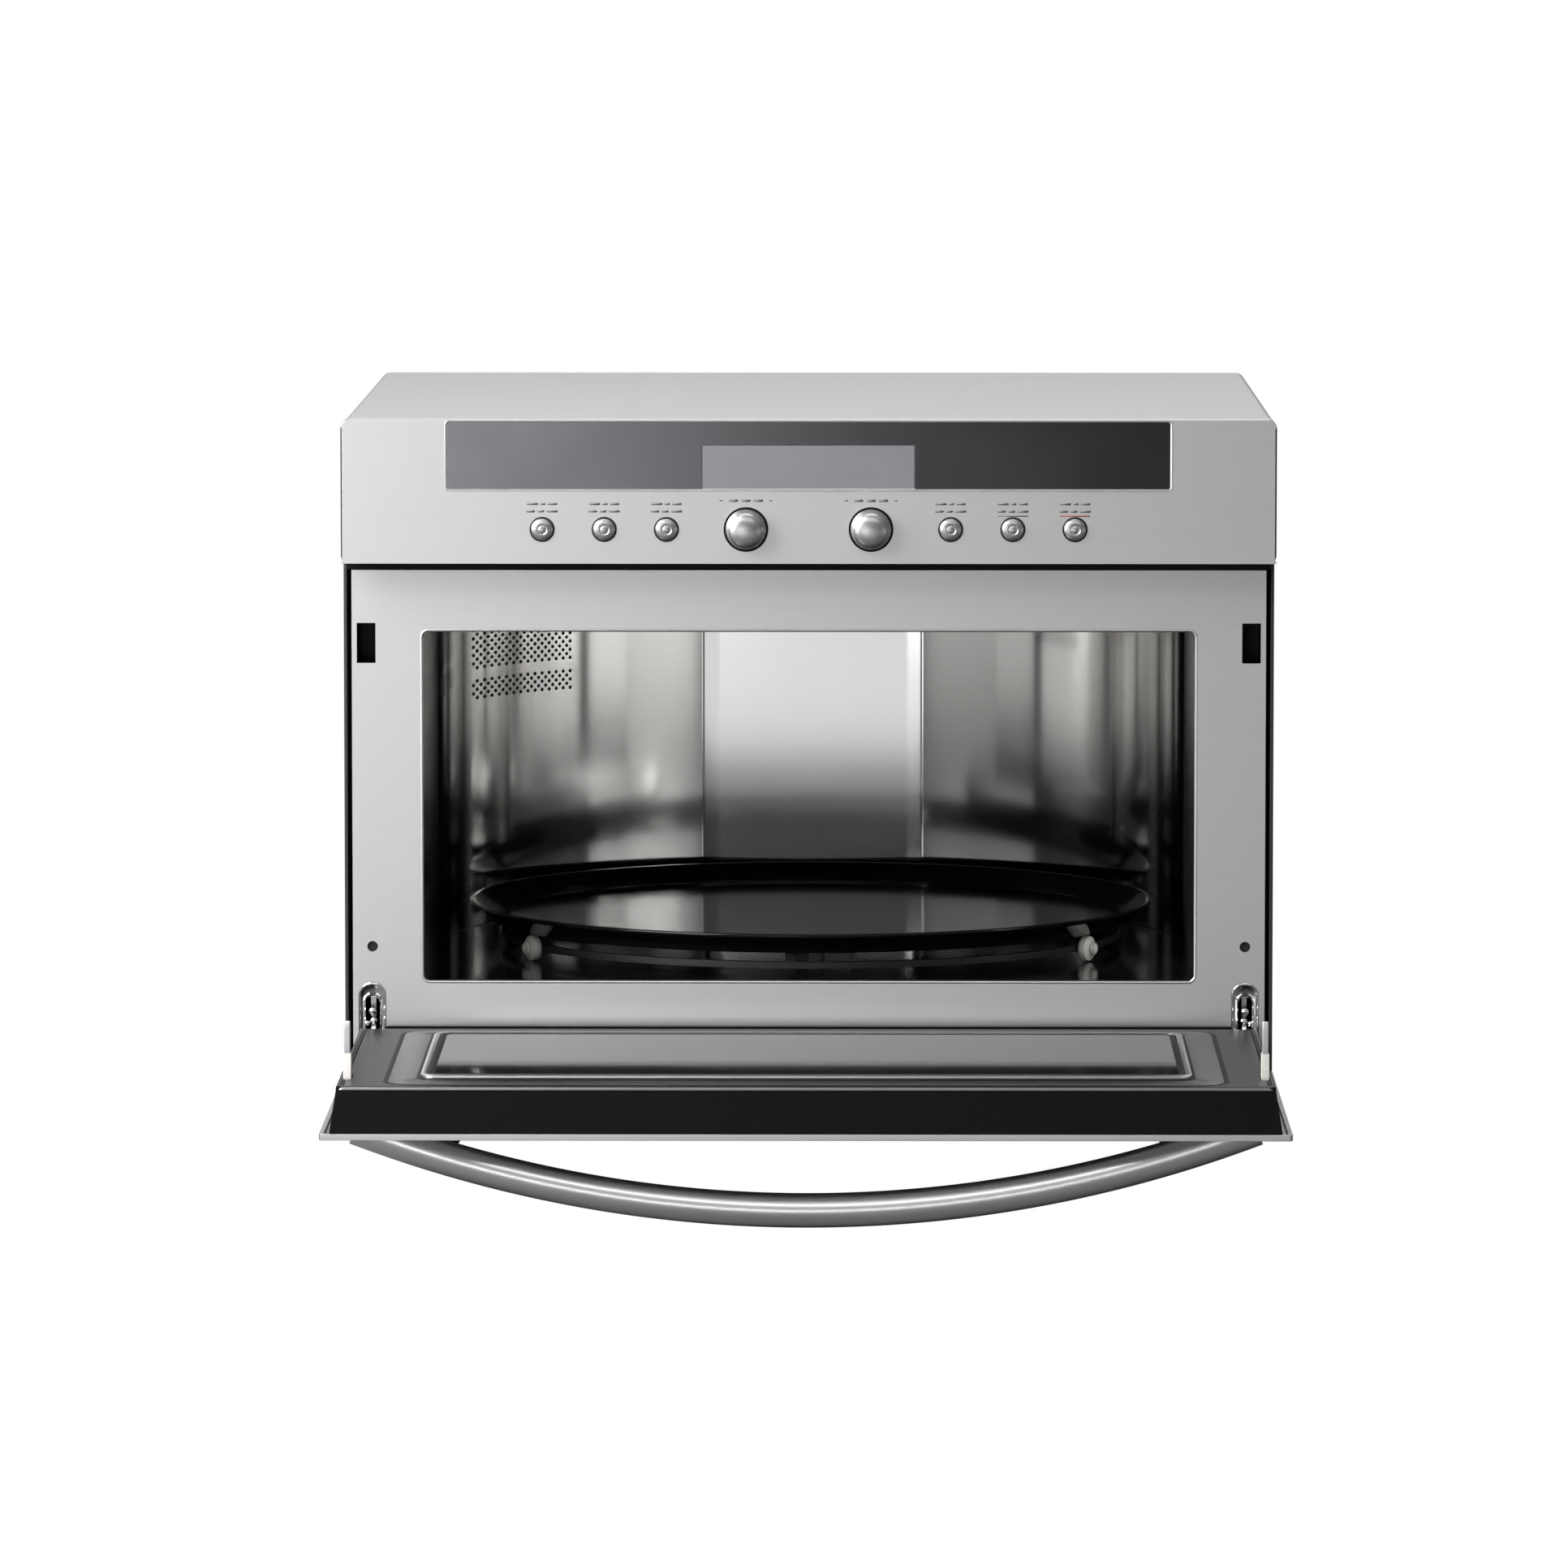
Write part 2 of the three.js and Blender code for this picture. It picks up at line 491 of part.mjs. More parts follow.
// The rotor turns about its own +Z, and is laid along the oven's depth.
function fanBlade() {
  const { hub, radius, blades } = FAN;
  const vanes = Array.from({ length: blades }, (_, i) =>
    new THREE.BoxGeometry(radius - hub + 2, 14, 1.4).rotateX(0.6)
      .translate((radius + hub - 2) / 2, 0, 6).rotateZ((i / blades) * 2 * Math.PI));
  const centre = rod(hub, 0, 12, 24);
  return cut(join(centre, ...vanes), rod(2.4, -1, 9, 16)).rotateX(-Math.PI / 2);
}

function fanMotor() {
  const y1 = innerBack - FAN.depth - GAP;
  const can = block(0, FAN.motor, -FAN.motorDepth, 0, -FAN.motor / 2, FAN.motor / 2);
  const shaft = rodOut(2, -FAN.depth / 2, 1, 16);
  return join(can, shaft).translate(FAN.x, y1, fanHeight);
}

function addBay(parent) {
  piece(parent, 'magnetron', magnetron(), zinc);
  piece(parent, 'waveguide', waveguide(), zinc);
  piece(parent, 'hv_transformer', transformer(), copper);
  const { x, width, depth, height, behind } = CAPACITOR;
  const y = innerBack - behind - depth / 2;
  piece(parent, 'hv_capacitor', upright(rounded(x - width / 2, x + width / 2, bayFloor, bayFloor + height, 12),
    y - depth / 2, y + depth / 2), zinc);
  piece(parent, 'fan_housing', fanHousing(), plastic);
  piece(parent, 'fan_motor', fanMotor(), zinc);
  piece(parent, 'fan_blade', fanBlade(), plastic, FAN.x, innerBack - FAN.depth + 4, fanHeight);
  piece(parent, 'cavity_lamp', join(
    block(LAMP.x, LAMP.width, LAMP.y - LAMP.depth / 2, LAMP.y + LAMP.depth / 2,
      bayFloor, bayFloor + LAMP.height),
    rod(9, bayFloor + LAMP.height - 1, bayFloor + LAMP.height + 14, 20).translate(LAMP.x, LAMP.y, 0)),
  paleNylon);
}

// ---- Turntable ----
const wheelLow = CAVITY_FLOOR + GAP;
const axleHeight = wheelLow + ROLLER.radius;
const trayBottom = wheelLow + 2 * ROLLER.radius + GAP;

function trayShape() {
  const { rimHeight: h, rimWidth: w, floorThick: t } = TRAY;
  const r = trayRadius;
  return turned([[0, 0], [r - w + 2, 0], [r, h - 2], [r, h], [r - 2, h], [r - w, t], [0, t]], 60);
}

function rollerRing() {
  const inner = rollerCircle - ROLLER.width / 2 - GAP;
  const [z0, z1] = [-RING.thick / 2, RING.thick / 2];
  const band = turned([[inner - RING.width, z0], [inner, z0], [inner, z1], [inner - RING.width, z1],
    [inner - RING.width, z0]], 48);
  const outer = rollerCircle + ROLLER.width / 2 + GAP;
  const axle = join(rodX(ROLLER.axleRadius, inner - 1, outer + 1, 12), rodX(3.2, outer, outer + 2, 16));
  return join(band, ...rollerTurns.map((turn) => axle.clone().rotateZ(turn)));
}
const rollerTurns = [-5, -1, 3].map((sixth) => (sixth / 6) * Math.PI);

function wheel() {
  const { radius: r, width, axleRadius, axleClearance } = ROLLER;
  const bore = axleRadius + axleClearance;
  const [a, b] = [-width / 2, width / 2];
  return turned([[bore, a], [r - 1, a], [r, a + 1], [r, b - 1], [r - 1, b], [bore, b], [bore, a]], 18)
    .rotateY(Math.PI / 2);
}

function coupler() {
  const { hubRadius, armReach, armWidth } = COUPLER;
  const [z0, z1] = [wheelLow, trayBottom - GAP];
  const arms = [0, 1, 2].map((i) =>
    box(0, armReach, -armWidth / 2, armWidth / 2, z0 + 4, z1).rotateZ((i * 2 * Math.PI) / 3));
  return cut(join(rod(hubRadius, z0, z1, 24), ...arms),
    rod(MOTOR.shaftRadius + GAP, z0 - 1, CAVITY_FLOOR + MOTOR.shaftRise + GAP, 24));
}

function addTurntable(parent) {
  const motorTop = CAVITY_FLOOR - SHEET - GAP;
  const motor = join(rod(MOTOR.radius, motorTop - MOTOR.height, motorTop),
    rod(MOTOR.shaftRadius, motorTop - 1, CAVITY_FLOOR + MOTOR.shaftRise, 20));
  piece(parent, 'turntable_motor', motor, zinc, 0, turntableY, 0);
  piece(parent, 'turntable_coupler', coupler(), paleNylon, 0, turntableY, 0);
  piece(parent, 'roller_ring', rollerRing(), plastic, 0, turntableY, axleHeight);
  rollerTurns.forEach((turn, i) => {
    const [x, y] = [rollerCircle * Math.cos(turn), turntableY + rollerCircle * Math.sin(turn)];
    piece(parent, `roller_${i + 1}`, wheel(), paleNylon, x, y, axleHeight).rotation.z = turn;
  });
  piece(parent, 'tray', trayShape(), enamel, 0, turntableY, trayBottom);
}

// ---- Door, in its own frame: the hinge axis along X, +Z up to its top edge, +Y inwards when shut ----
const pockets = { hinge: 16, hook: HOOK.thick + 2 * GAP + 0.4 };
const hookX = half - HOOK.inset;
const hookHigh = doorHigh - HOOK.drop;
const hookLow = hookHigh - HOOK.height;
const skinBack = DOOR_PANEL.skin - DOOR_OUTER;
const paneInset = 1; // the door body's window is smaller than its glass by this each way
const screenSeat = DOOR_INNER - SHEET - GAP;

// Box whose far end is smaller than its near end: half widths, lows and highs at depths y0 and y1.
function taper(w0, low0, high0, y0, w1, low1, high1, y1) {
  const geometry = new THREE.BoxGeometry(2, 2, 2);
  const place = geometry.getAttribute('position');
  for (let i = 0; i < place.count; i++) {
    const inner = place.getY(i) > 0;
    const [w, low, high, y] = inner ? [w1, low1, high1, y1] : [w0, low0, high0, y0];
    place.setXYZ(i, place.getX(i) * w, y, place.getZ(i) > 0 ? high : low);
  }
  return geometry;
}

const windowBox = (y0, y1, grow) =>
  block(0, WIDTH - 2 * (WINDOW.inset - grow), y0, y1, WINDOW.bottom - grow, doorHigh - WINDOW.top + grow);

function outerPanel() {
  const { skin, rim, rimDepth } = DOOR_PANEL;
  const pan = upright(rounded(-half, half, doorLow, doorHigh, 2), -DOOR_OUTER, rimDepth - DOOR_OUTER);
  const hollow = box(rim - half, half - rim, skin - DOOR_OUTER, 0, doorLow + rim, doorHigh - rim);
  return cut(pan, hollow, windowBox(-DOOR_OUTER - 1, 0, GAP));
}

function doorBody() {
  const { wall, depth } = CHOKE;
  const y0 = skinBack + GAP;
  const [w0, w1] = [half - DOOR_BODY.inset, half - DOOR_BODY.innerInset];
  const [high0, high1] = [doorHigh - DOOR_BODY.topInset, doorHigh - DOOR_BODY.innerTopInset];
  const seat = DOOR_PANEL.rimDepth - DOOR_OUTER + GAP;
  const plug = box(-w0, w0, y0, seat + 1, doorLow + DOOR_PANEL.rim + GAP, doorHigh - DOOR_PANEL.rim - GAP);
  const body = join(taper(w0, doorLow, high0, seat, w1, doorLow, high1, DOOR_INNER), plug);
  const heel = crossways(polygon([3, doorLow], [3, doorLow - 5], [DOOR_INNER + 5, doorLow - 5],
    [DOOR_INNER + 5, 3], [DOOR_INNER, doorLow + 6]), -half, half);
  const face = box(-w1 + wall, w1 - wall, screenSeat, DOOR_INNER + 1, doorLow + 6.5, high1 - wall);
  const choke = cut(box(-w1 + 26, w1 - 26, DOOR_INNER - depth, DOOR_INNER, 12, high1 - 2 * wall),
    windowBox(-DOOR_OUTER, DOOR_INNER + 1, 2 * wall));
  const tools = [heel, face, choke, windowBox(-DOOR_OUTER - 1, DOOR_INNER + 1, -paneInset),
    windowBox(-DOOR_OUTER - 1, WINDOW.glassThick - DOOR_OUTER + GAP, GAP)];
  for (const [, side] of SIDES) {
    const hinge = side * hingeX;
    tools.push(
      block(hinge, pockets.hinge, -DOOR_INNER, DOOR_INNER + 1, doorLow - 1, -doorLow + 1),
      block(hinge, pockets.hinge - 4, -DOOR_INNER, 3, doorLow, HINGE.leaf + 10 + GAP),
      block(side * hookX, pockets.hook, -5, DOOR_INNER + 1, hookLow - 4, hookHigh + 6));
  }
  return cut(body, ...tools);
}

// The bright face towards the food, with a slot for each latch hook.
function innerPanel() {
  const w = half - DOOR_BODY.innerInset - CHOKE.wall - GAP;
  const high = doorHigh - DOOR_BODY.innerTopInset - CHOKE.wall - GAP;
  const sheet = upright(rounded(-w, w, -doorLow + 2, high, 2), DOOR_INNER - SHEET, DOOR_INNER);
  const hooks = SIDES.map(([, side]) => 
    block(side * hookX, pockets.hook, 0, DOOR_INNER + 1, hookLow - 4, hookHigh + 6));
  return cut(sheet, windowBox(0, DOOR_INNER + 1, GAP), ...hooks);
}

function handle() {
  const { radius, endInset, reach, down } = HANDLE;
  const rise = reach - radius; // of the bow's middle line over the outer face
  const chord = half - endInset;
  const bow = (chord * chord + rise * rise) / (2 * rise);
  const turn = Math.asin(chord / bow) * 1.06;
  class Bow extends THREE.Curve {
    getPoint(t, point = new THREE.Vector3()) {
      const a = (2 * t - 1) * turn;
      return point.set(bow * Math.sin(a), bow * (1 - Math.cos(a)) - DOOR_OUTER - rise, doorHigh - down);
    }
  }
  const section = new THREE.Shape().absarc(0, 0, radius, 0, 2 * Math.PI);
  const tube = new THREE.ExtrudeGeometry(section, { steps: 30, curveSegments: 8, extrudePath: new Bow() });
  return cut(tube, box(-half, half, -DOOR_OUTER - GAP, half, 0, doorHigh));
}

// Hook in its own frame: the tilting axis along X through its root.
function hook(side) {
  const { thick, reach, root, shoulder } = HOOK;
  const tip = DOOR_INNER + reach;
  const [l, h] = [hookLow - hookPivot.z, hookHigh - hookPivot.z];
  const y = (depth) => depth - hookPivot.y;
  const outline = polygon([y(-4), l + 2], [y(-1), l + 1], [y(tip - 9), l + 3], [y(tip - 8), l],
    [y(tip - 1), l + 2.5], [y(tip), h - 3], [y(tip - 5), h - shoulder],
    [y(DOOR_INNER + root), h - shoulder], [y(DOOR_INNER), h], [y(-4), h - 1]);
  return crossways(outline, side * hookX - thick / 2, side * hookX + thick / 2);
}
const hookPivot = { y: 0, z: (hookLow + hookHigh) / 2 };

// The hinge's moving half: two cheeks about the pin, on a leaf let into the door body.
function hingeLeaf(side) {
  const x = side * hingeX;
  const { ear, pin, pinClearance, arm, cheek, leaf } = HINGE;
  const parts = [-1, 1].map((hand) => {
    const middle = x + hand * (arm / 2 + GAP + cheek / 2);
    const [a, b] = [middle - cheek / 2, middle + cheek / 2];
    return cut(join(rodX(ear, a, b, 24), box(a, b, -ear, 0, 0, leaf)),
      rodX(pin + pinClearance, a - 1, b + 1, 24));
  });
  const plate = block(x, pockets.hinge - 4 - 2 * GAP, -DOOR_INNER + GAP, 2, leaf - GAP - 5, leaf + 10);
  return join(parts[0], parts[1], plate);
}

// The hinge's fixed half: an arm out of the body through the slot, with the pin through its end.
function hingeBracket(side) {
  const x = side * hingeX;
  const { pin, arm, cheek } = HINGE;
  const [tail, rise] = [PIVOT_PROUD + 30, 6];
  const seat = PIVOT_PROUD + SHEET + GAP;
  const slotTop = HINGE_SLOT.above;
  const bar = crossways(polygon([-2, -rise], [tail, -rise], [tail, slotTop + 20], [seat + 1, slotTop + 20],
    [seat + 1, slotTop + 3], [tail - 16, slotTop - 5], [tail - 16, 2 * rise], [PIVOT_PROUD + 4, rise],
    [-2, rise]),
    x - arm / 2, x + arm / 2);
  const eye = rodX(rise, x - arm / 2, x + arm / 2, 20);
  const axle = rodX(pin, x - arm / 2 - cheek - 2 * GAP, x + arm / 2 + cheek + 2 * GAP, 24);
  const flange = block(x, 16, seat, seat + 2, slotTop + 2, slotTop + 22);
  return join(bar, eye, axle, flange);
}

// The switch box behind each latch slot, open to the front.
function latchSwitch(side) {
  const x = side * latchX;
  const near = latchX - LATCH_SLOT.width / 2 - LATCH_WALL;
  const far = frameHalf - SHEET - GAP;
  const deep = DOOR_INNER + HOOK.reach + 6 - PIVOT_PROUD;
  const [low, high] = [latchHeight - LATCH_SLOT.height / 2, latchHeight + LATCH_SLOT.height / 2];
  return cut(block(side * (near + far) / 2, far - near, SHEET + GAP, deep + 2, low - 12, high + 8),
    block(x, LATCH_SLOT.width, 0, deep, low - 2, high + 2));
}

function addDoor(parent) {
  const door = new THREE.Group();
  door.position.set(0, -PIVOT_PROUD, pivotZ);
  door.rotation.x = THREE.MathUtils.degToRad(OPEN_ANGLE);
  parent.add(door);
  piece(door, 'door_outer_panel', outerPanel(), stainless);
  piece(door, 'door_body', doorBody(), blackPaint);
  piece(door, 'door_inner_panel', innerPanel(), darkSteel);
  piece(door, 'door_outer_glass', windowBox(0.2 - DOOR_OUTER, WINDOW.glassThick - DOOR_OUTER, 0), blackGlass);
  piece(door, 'door_inner_glass',
    windowBox(DOOR_INNER - SHEET - 2, DOOR_INNER - SHEET, -paneInset - GAP), blackGlass);
  piece(door, 'door_mesh_screen',
    windowBox(DOOR_INNER - SHEET - 3.5, DOOR_INNER - SHEET - 2.3, -paneInset - GAP), darkSteel);
  piece(door, 'handle', handle(), stainless);
  for (const [name, side] of SIDES) {
    piece(door, `latch_hook_${name}`, hook(side), paleNylon, 0, hookPivot.y, hookPivot.z);
    piece(door, `hinge_leaf_${name}`, hingeLeaf(side), chrome);
  }
}

function addDoorFittings(parent) {
  for (const [name, side] of SIDES) {
    piece(parent, `hinge_bracket_${name}`, hingeBracket(side), chrome, 0, -PIVOT_PROUD, pivotZ);
    piece(parent, `latch_switch_${name}`, latchSwitch(side), plastic);
  }
}

// ---- The whole oven, centred over its footprint ----
addCasing(oven);
addFeet(oven);
addCavity(oven);
addFascia(oven);
addBay(oven);
addTurntable(oven);
addDoor(oven);
addDoorFittings(oven);

const frontmost = -PIVOT_PROUD - doorHigh; // the open door's top edge
const rearmost = BODY_DEPTH + GLAND.proud;
oven.position.y = -(frontmost + rearmost) / 2;

export default oven;
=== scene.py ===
"""Looks of the countertop microwave oven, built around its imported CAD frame.

Places are in metres. Profiles, outlines and named sizes are in millimetres unless a comment says
otherwise, and MM turns them into metres.
"""

import json
import math

import bmesh
import bpy
from mathutils import Matrix, Vector


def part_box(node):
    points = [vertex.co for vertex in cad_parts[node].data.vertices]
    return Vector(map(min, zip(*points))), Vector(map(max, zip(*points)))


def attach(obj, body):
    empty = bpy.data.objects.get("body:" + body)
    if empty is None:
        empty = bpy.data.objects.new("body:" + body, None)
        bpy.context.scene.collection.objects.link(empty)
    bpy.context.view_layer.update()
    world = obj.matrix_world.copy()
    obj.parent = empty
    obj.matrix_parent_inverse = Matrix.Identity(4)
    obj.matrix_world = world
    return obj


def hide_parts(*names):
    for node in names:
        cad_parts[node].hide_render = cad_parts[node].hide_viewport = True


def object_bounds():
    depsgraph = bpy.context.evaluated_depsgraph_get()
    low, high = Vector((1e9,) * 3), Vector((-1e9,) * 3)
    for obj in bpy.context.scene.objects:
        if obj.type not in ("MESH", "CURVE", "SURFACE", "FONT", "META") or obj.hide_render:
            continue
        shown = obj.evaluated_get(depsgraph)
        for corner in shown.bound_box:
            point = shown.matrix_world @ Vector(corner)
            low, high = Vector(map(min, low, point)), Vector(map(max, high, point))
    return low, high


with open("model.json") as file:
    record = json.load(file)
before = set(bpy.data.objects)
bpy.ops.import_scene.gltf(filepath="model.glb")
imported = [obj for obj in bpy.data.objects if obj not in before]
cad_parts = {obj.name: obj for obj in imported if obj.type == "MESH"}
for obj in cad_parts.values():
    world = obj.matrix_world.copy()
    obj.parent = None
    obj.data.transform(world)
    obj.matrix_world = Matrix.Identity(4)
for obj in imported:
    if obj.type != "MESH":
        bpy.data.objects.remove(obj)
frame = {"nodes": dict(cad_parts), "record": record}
cad_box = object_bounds()

MM = 0.001
SIDES = (("left", -1), ("right", 1))
SAME_POINT = 1e-6  # metres; points closer than this are one point
FLAT_ANGLE = math.radians(0.5)  # faces nearer to parallel than this are one flat face
HARD_ANGLE = math.radians(42)  # edges that turn by more than this are hard edges
OUTWARDS = Matrix.Rotation(math.pi / 2, 4, "X")  # turns a lathe's +Z to -Y, out of the oven's front


def middle(node):
    low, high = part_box(node)
    return (low + high) / 2


# ---------------------------------------------------------------- places taken from the frame
TABLE = cad_box[0].z
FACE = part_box("front_frame")[0].y  # the front frame's face
FASCIA_LOW, FASCIA_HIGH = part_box("control_fascia")
JOINTS = {joint["name"]: joint for joint in frame["record"]["behaviour"]["joints"]}
HINGE = Vector(JOINTS["door_hinge"]["pos_m"])
DOOR_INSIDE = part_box("door_body")[1].z  # the door's inner face, which looks up while the door is open
NODE_SLOT = {part["node"]: part["material_slot"] for part in frame["record"]["subparts"]}
BODIES = frame["record"]["behaviour"]["bodies"]
NODE_BODY = {node: body for body, nodes in BODIES.items() for node in nodes}


# ---------------------------------------------------------------- materials
GRAIN_SCALE = 6.0
GRAIN_DEPTH = 0.00004  # metres
CLOUD_DEPTH = 0.00005  # metres


def new_material(name, base, metallic, roughness):
    mat = bpy.data.materials.new(name)
    mat.use_nodes = True
    shader = mat.node_tree.nodes["Principled BSDF"]
    shader.inputs["Base Color"].default_value = (*base, 1)
    shader.inputs["Metallic"].default_value = metallic
    shader.inputs["Roughness"].default_value = roughness
    return mat, mat.node_tree, shader


def link(tree, a, out, b, into):
    tree.links.new(a.outputs[out], b.inputs[into])


def grain(tree, stretch, scale, detail=3.0):
    """Noise over the piece's own coordinates, stretched by the three factors."""
    place = tree.nodes.new("ShaderNodeTexCoord")
    mapping = tree.nodes.new("ShaderNodeMapping")
    mapping.inputs["Scale"].default_value = stretch
    noise = tree.nodes.new("ShaderNodeTexNoise")
    noise.inputs["Scale"].default_value = scale
    noise.inputs["Detail"].default_value = detail
    link(tree, place, "Object", mapping, "Vector")
    link(tree, mapping, "Vector", noise, "Vector")
    return noise


def vary_roughness(tree, source, low, high, shader):
    node = tree.nodes.new("ShaderNodeMapRange")
    node.inputs["To Min"].default_value = low
    node.inputs["To Max"].default_value = high
    link(tree, source, "Fac", node, "Value")
    link(tree, node, "Result", shader, "Roughness")


def vary_colour(tree, source, colour, variation, shader):
    """Varies the base colour by a share of itself to either side."""
    ramp = tree.nodes.new("ShaderNodeValToRGB")
    dark, light = ramp.color_ramp.elements
    for element, position, factor in ((dark, 0.3, 1 - variation), (light, 0.7, 1 + variation)):
        element.position = position
        element.color = (*(min(1.0, c * factor) for c in colour), 1)
    link(tree, source, "Fac", ramp, "Fac")
    link(tree, ramp, "Color", shader, "Base Color")


def bump(tree, source, strength, distance, shader):
    node = tree.nodes.new("ShaderNodeBump")
    node.inputs["Strength"].default_value = strength
    node.inputs["Distance"].default_value = distance
    link(tree, source, "Fac", node, "Height")
    link(tree, node, "Normal", shader, "Normal")


def brushed(name, colour, roughness, variation=0.03, relief=0.04):
    """Metal with a fine grain along X."""
    mat, tree, shader = new_material(name, colour, 1.0, roughness)
    lines = grain(tree, (3, 260, 260), GRAIN_SCALE, 4.0)
    vary_colour(tree, lines, colour, variation, shader)
    vary_roughness(tree, lines, roughness - 0.05, roughness + 0.06, shader)
    if relief:
        bump(tree, lines, relief, GRAIN_DEPTH, shader)
    return mat


def mottled(name, colour, metallic, roughness, scale=60, variation=0.05, relief=0.05, shine=0.5):
    """Painted, moulded, polished or plated surface with slight unevenness."""
    mat, tree, shader = new_material(name, colour, metallic, roughness)
    shader.inputs["Specular IOR Level"].default_value = shine
    cloud = grain(tree, (1, 1, 1), scale)
    vary_colour(tree, cloud, colour, variation, shader)
    vary_roughness(tree, cloud, roughness * 0.85, roughness * 1.15, shader)
    if relief:
        bump(tree, cloud, relief, CLOUD_DEPTH, shader)
    return mat


MATERIALS = {
    "stainless": brushed("satin_stainless", (0.58, 0.578, 0.572), 0.40, 0.02, 0.03),
    "cavity_steel": mottled("polished_cavity_steel", (0.66, 0.655, 0.645), 1.0, 0.085, 12, 0.015, 0.0),
    "inner_door_steel": brushed("dark_door_steel", (0.040, 0.040, 0.042), 0.36),
    "screen_steel": mottled("screen_steel", (0.10, 0.10, 0.10), 1.0, 0.4),
    "chrome": mottled("bright_zinc", (0.75, 0.75, 0.74), 1.0, 0.16, 90, 0.08, 0.06),
    "control_chrome": mottled("satin_chrome", (0.46, 0.46, 0.465), 1.0, 0.33, 200, 0.03, 0.02),
    "zinc": mottled("galvanised_sheet", (0.48, 0.49, 0.50), 0.9, 0.42, 35, 0.14, 0.05),
    "black_body": mottled("satin_black_body", (0.0045, 0.0045, 0.005), 0.0, 0.42, 700, 0.2, 0.1, 0.08),
    "display_glass": mottled("black_display_glass", (0.078, 0.078, 0.083), 1.0, 0.2, 20, 0.03, 0.0),
    "display_film": mottled("grey_display_film", (0.165, 0.165, 0.18), 0.0, 0.3, 30, 0.04, 0.0),
    "door_glass": mottled("tinted_door_glass", (0.012, 0.012, 0.013), 0.0, 0.05, 9, 0.1, 0.0, 0.7),
    "enamel": mottled("glossy_black_enamel", (0.004, 0.004, 0.0045), 0.0, 0.11, 24, 0.2, 0.02, 0.16),
    "black_plastic": mottled("moulded_black_plastic", (0.012, 0.012, 0.012), 0.0, 0.5, 900, 0.2, 0.15, 0.3),
    "pale_nylon": mottled("pale_nylon", (0.70, 0.68, 0.64), 0.0, 0.32, 300, 0.05, 0.06),
    "mica": mottled("mica_sheet", (0.42, 0.38, 0.30), 0.2, 0.4, 45, 0.2, 0.1),
    "rubber": mottled("foot_rubber", (0.014, 0.014, 0.014), 0.0, 0.75, 800, 0.25, 0.3),
    "board": mottled("solder_mask", (0.02, 0.11, 0.035), 0.0, 0.4, 200, 0.15, 0.1),
    "copper": mottled("varnished_windings", (0.36, 0.13, 0.045), 0.6, 0.4, 240, 0.2, 0.3),
}
# Finishes of single pieces that differ a little from their slot's own; two of them are painted light, a
# painted shade and a painted highlight
PLATE_STEEL = brushed("inner_plate_steel", (0.21, 0.21, 0.215), 0.36)
BRIGHT_EDGE = mottled("bright_steel_edge", (0.66, 0.66, 0.655), 1.0, 0.30, 120, 0.03, 0.0)
SIDE_STEEL = mottled("side_wall_steel", (0.68, 0.675, 0.665), 1.0, 0.16, 14, 0.015, 0.0)
# painted shade: a near-black copy for the rounds of the fascia's ends and the cover's front edges
PAINTED_SHADE_EDGE = mottled("painted_shade_edge", (0.035, 0.035, 0.036), 0.0, 0.5, 120, 0.05, 0.0, 0.15)
# painted highlight: a near-white copy of the steel for the front of the fascia's top
PAINTED_HIGHLIGHT_TOP = brushed("painted_highlight_fascia_top", (0.86, 0.86, 0.855), 0.34, 0.01, 0.0)
HANDLE_STEEL = brushed("handle_steel", (0.76, 0.758, 0.752), 0.30, 0.02, 0.02)
MARK_FINISH = {
    "black_body": mottled("mark_grey", (0.13, 0.13, 0.135), 0.0, 0.5, 900, 0.1, 0.0),
    "display_film": mottled("mark_red", (0.30, 0.06, 0.06), 0.0, 0.5, 900, 0.1, 0.0),
}
OWN_FINISH = {"cavity_side_left": SIDE_STEEL, "cavity_side_right": SIDE_STEEL}


# ---------------------------------------------------------------- mesh helpers
def finish_piece(bm, name, node, slot=None, material=None, smooth=35, replaces=True):
    """Turns a bmesh into a piece that rides with the node's body and takes the slot's finish."""
    mesh = bpy.data.meshes.new(name)
    bm.normal_update()
    bm.to_mesh(mesh)
    bm.free()
    piece = bpy.data.objects.new(name, mesh)
    bpy.context.scene.collection.objects.link(piece)
    slot = slot or NODE_SLOT[node]
    mesh.materials.append(material or MATERIALS[slot])
    mesh.shade_smooth()
    mesh.set_sharp_from_angle(angle=math.radians(smooth))
    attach(piece, NODE_BODY[node])
    if replaces:
        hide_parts(node)
    return piece


def even_shading(piece):
    """Keeps a big flat face evenly shaded up to the small rounds along its edges."""
    mod = piece.modifiers.new("flat_faces", "WEIGHTED_NORMAL")
    mod.keep_sharp = True
    mod.weight = 100


def cad_copy(node):
    """The node's own mesh with its repeated points merged."""
    bm = bmesh.new()
    bm.from_mesh(frame["nodes"][node].data)
    bmesh.ops.remove_doubles(bm, verts=bm.verts, dist=SAME_POINT)
    return bm


def merge_flats(bm):
    bmesh.ops.dissolve_limit(bm, angle_limit=FLAT_ANGLE, verts=bm.verts, edges=bm.edges)


def is_hard(edge):
    return len(edge.link_faces) == 2 and edge.calc_face_angle(0) > HARD_ANGLE


def round_edges(bm, width, segments):
    """Gives every hard edge a small round, its width in mm."""
    hard = [edge for edge in bm.edges if is_hard(edge)]
    bmesh.ops.bevel(bm, geom=hard, offset=width * MM, segments=segments, affect="EDGES", profile=0.5,
                    clamp_overlap=True)


def cut(bm, place, normal, drop=False):
    """Cuts the mesh by a plane, drops what lies past it if asked to, and returns the new edges."""
    made = bmesh.ops.bisect_plane(bm, geom=bm.verts[:] + bm.edges[:] + bm.faces[:], plane_co=place,
                                  plane_no=normal, clear_outer=drop)
    return [item for item in made["geom_cut"] if isinstance(item, bmesh.types.BMEdge)]


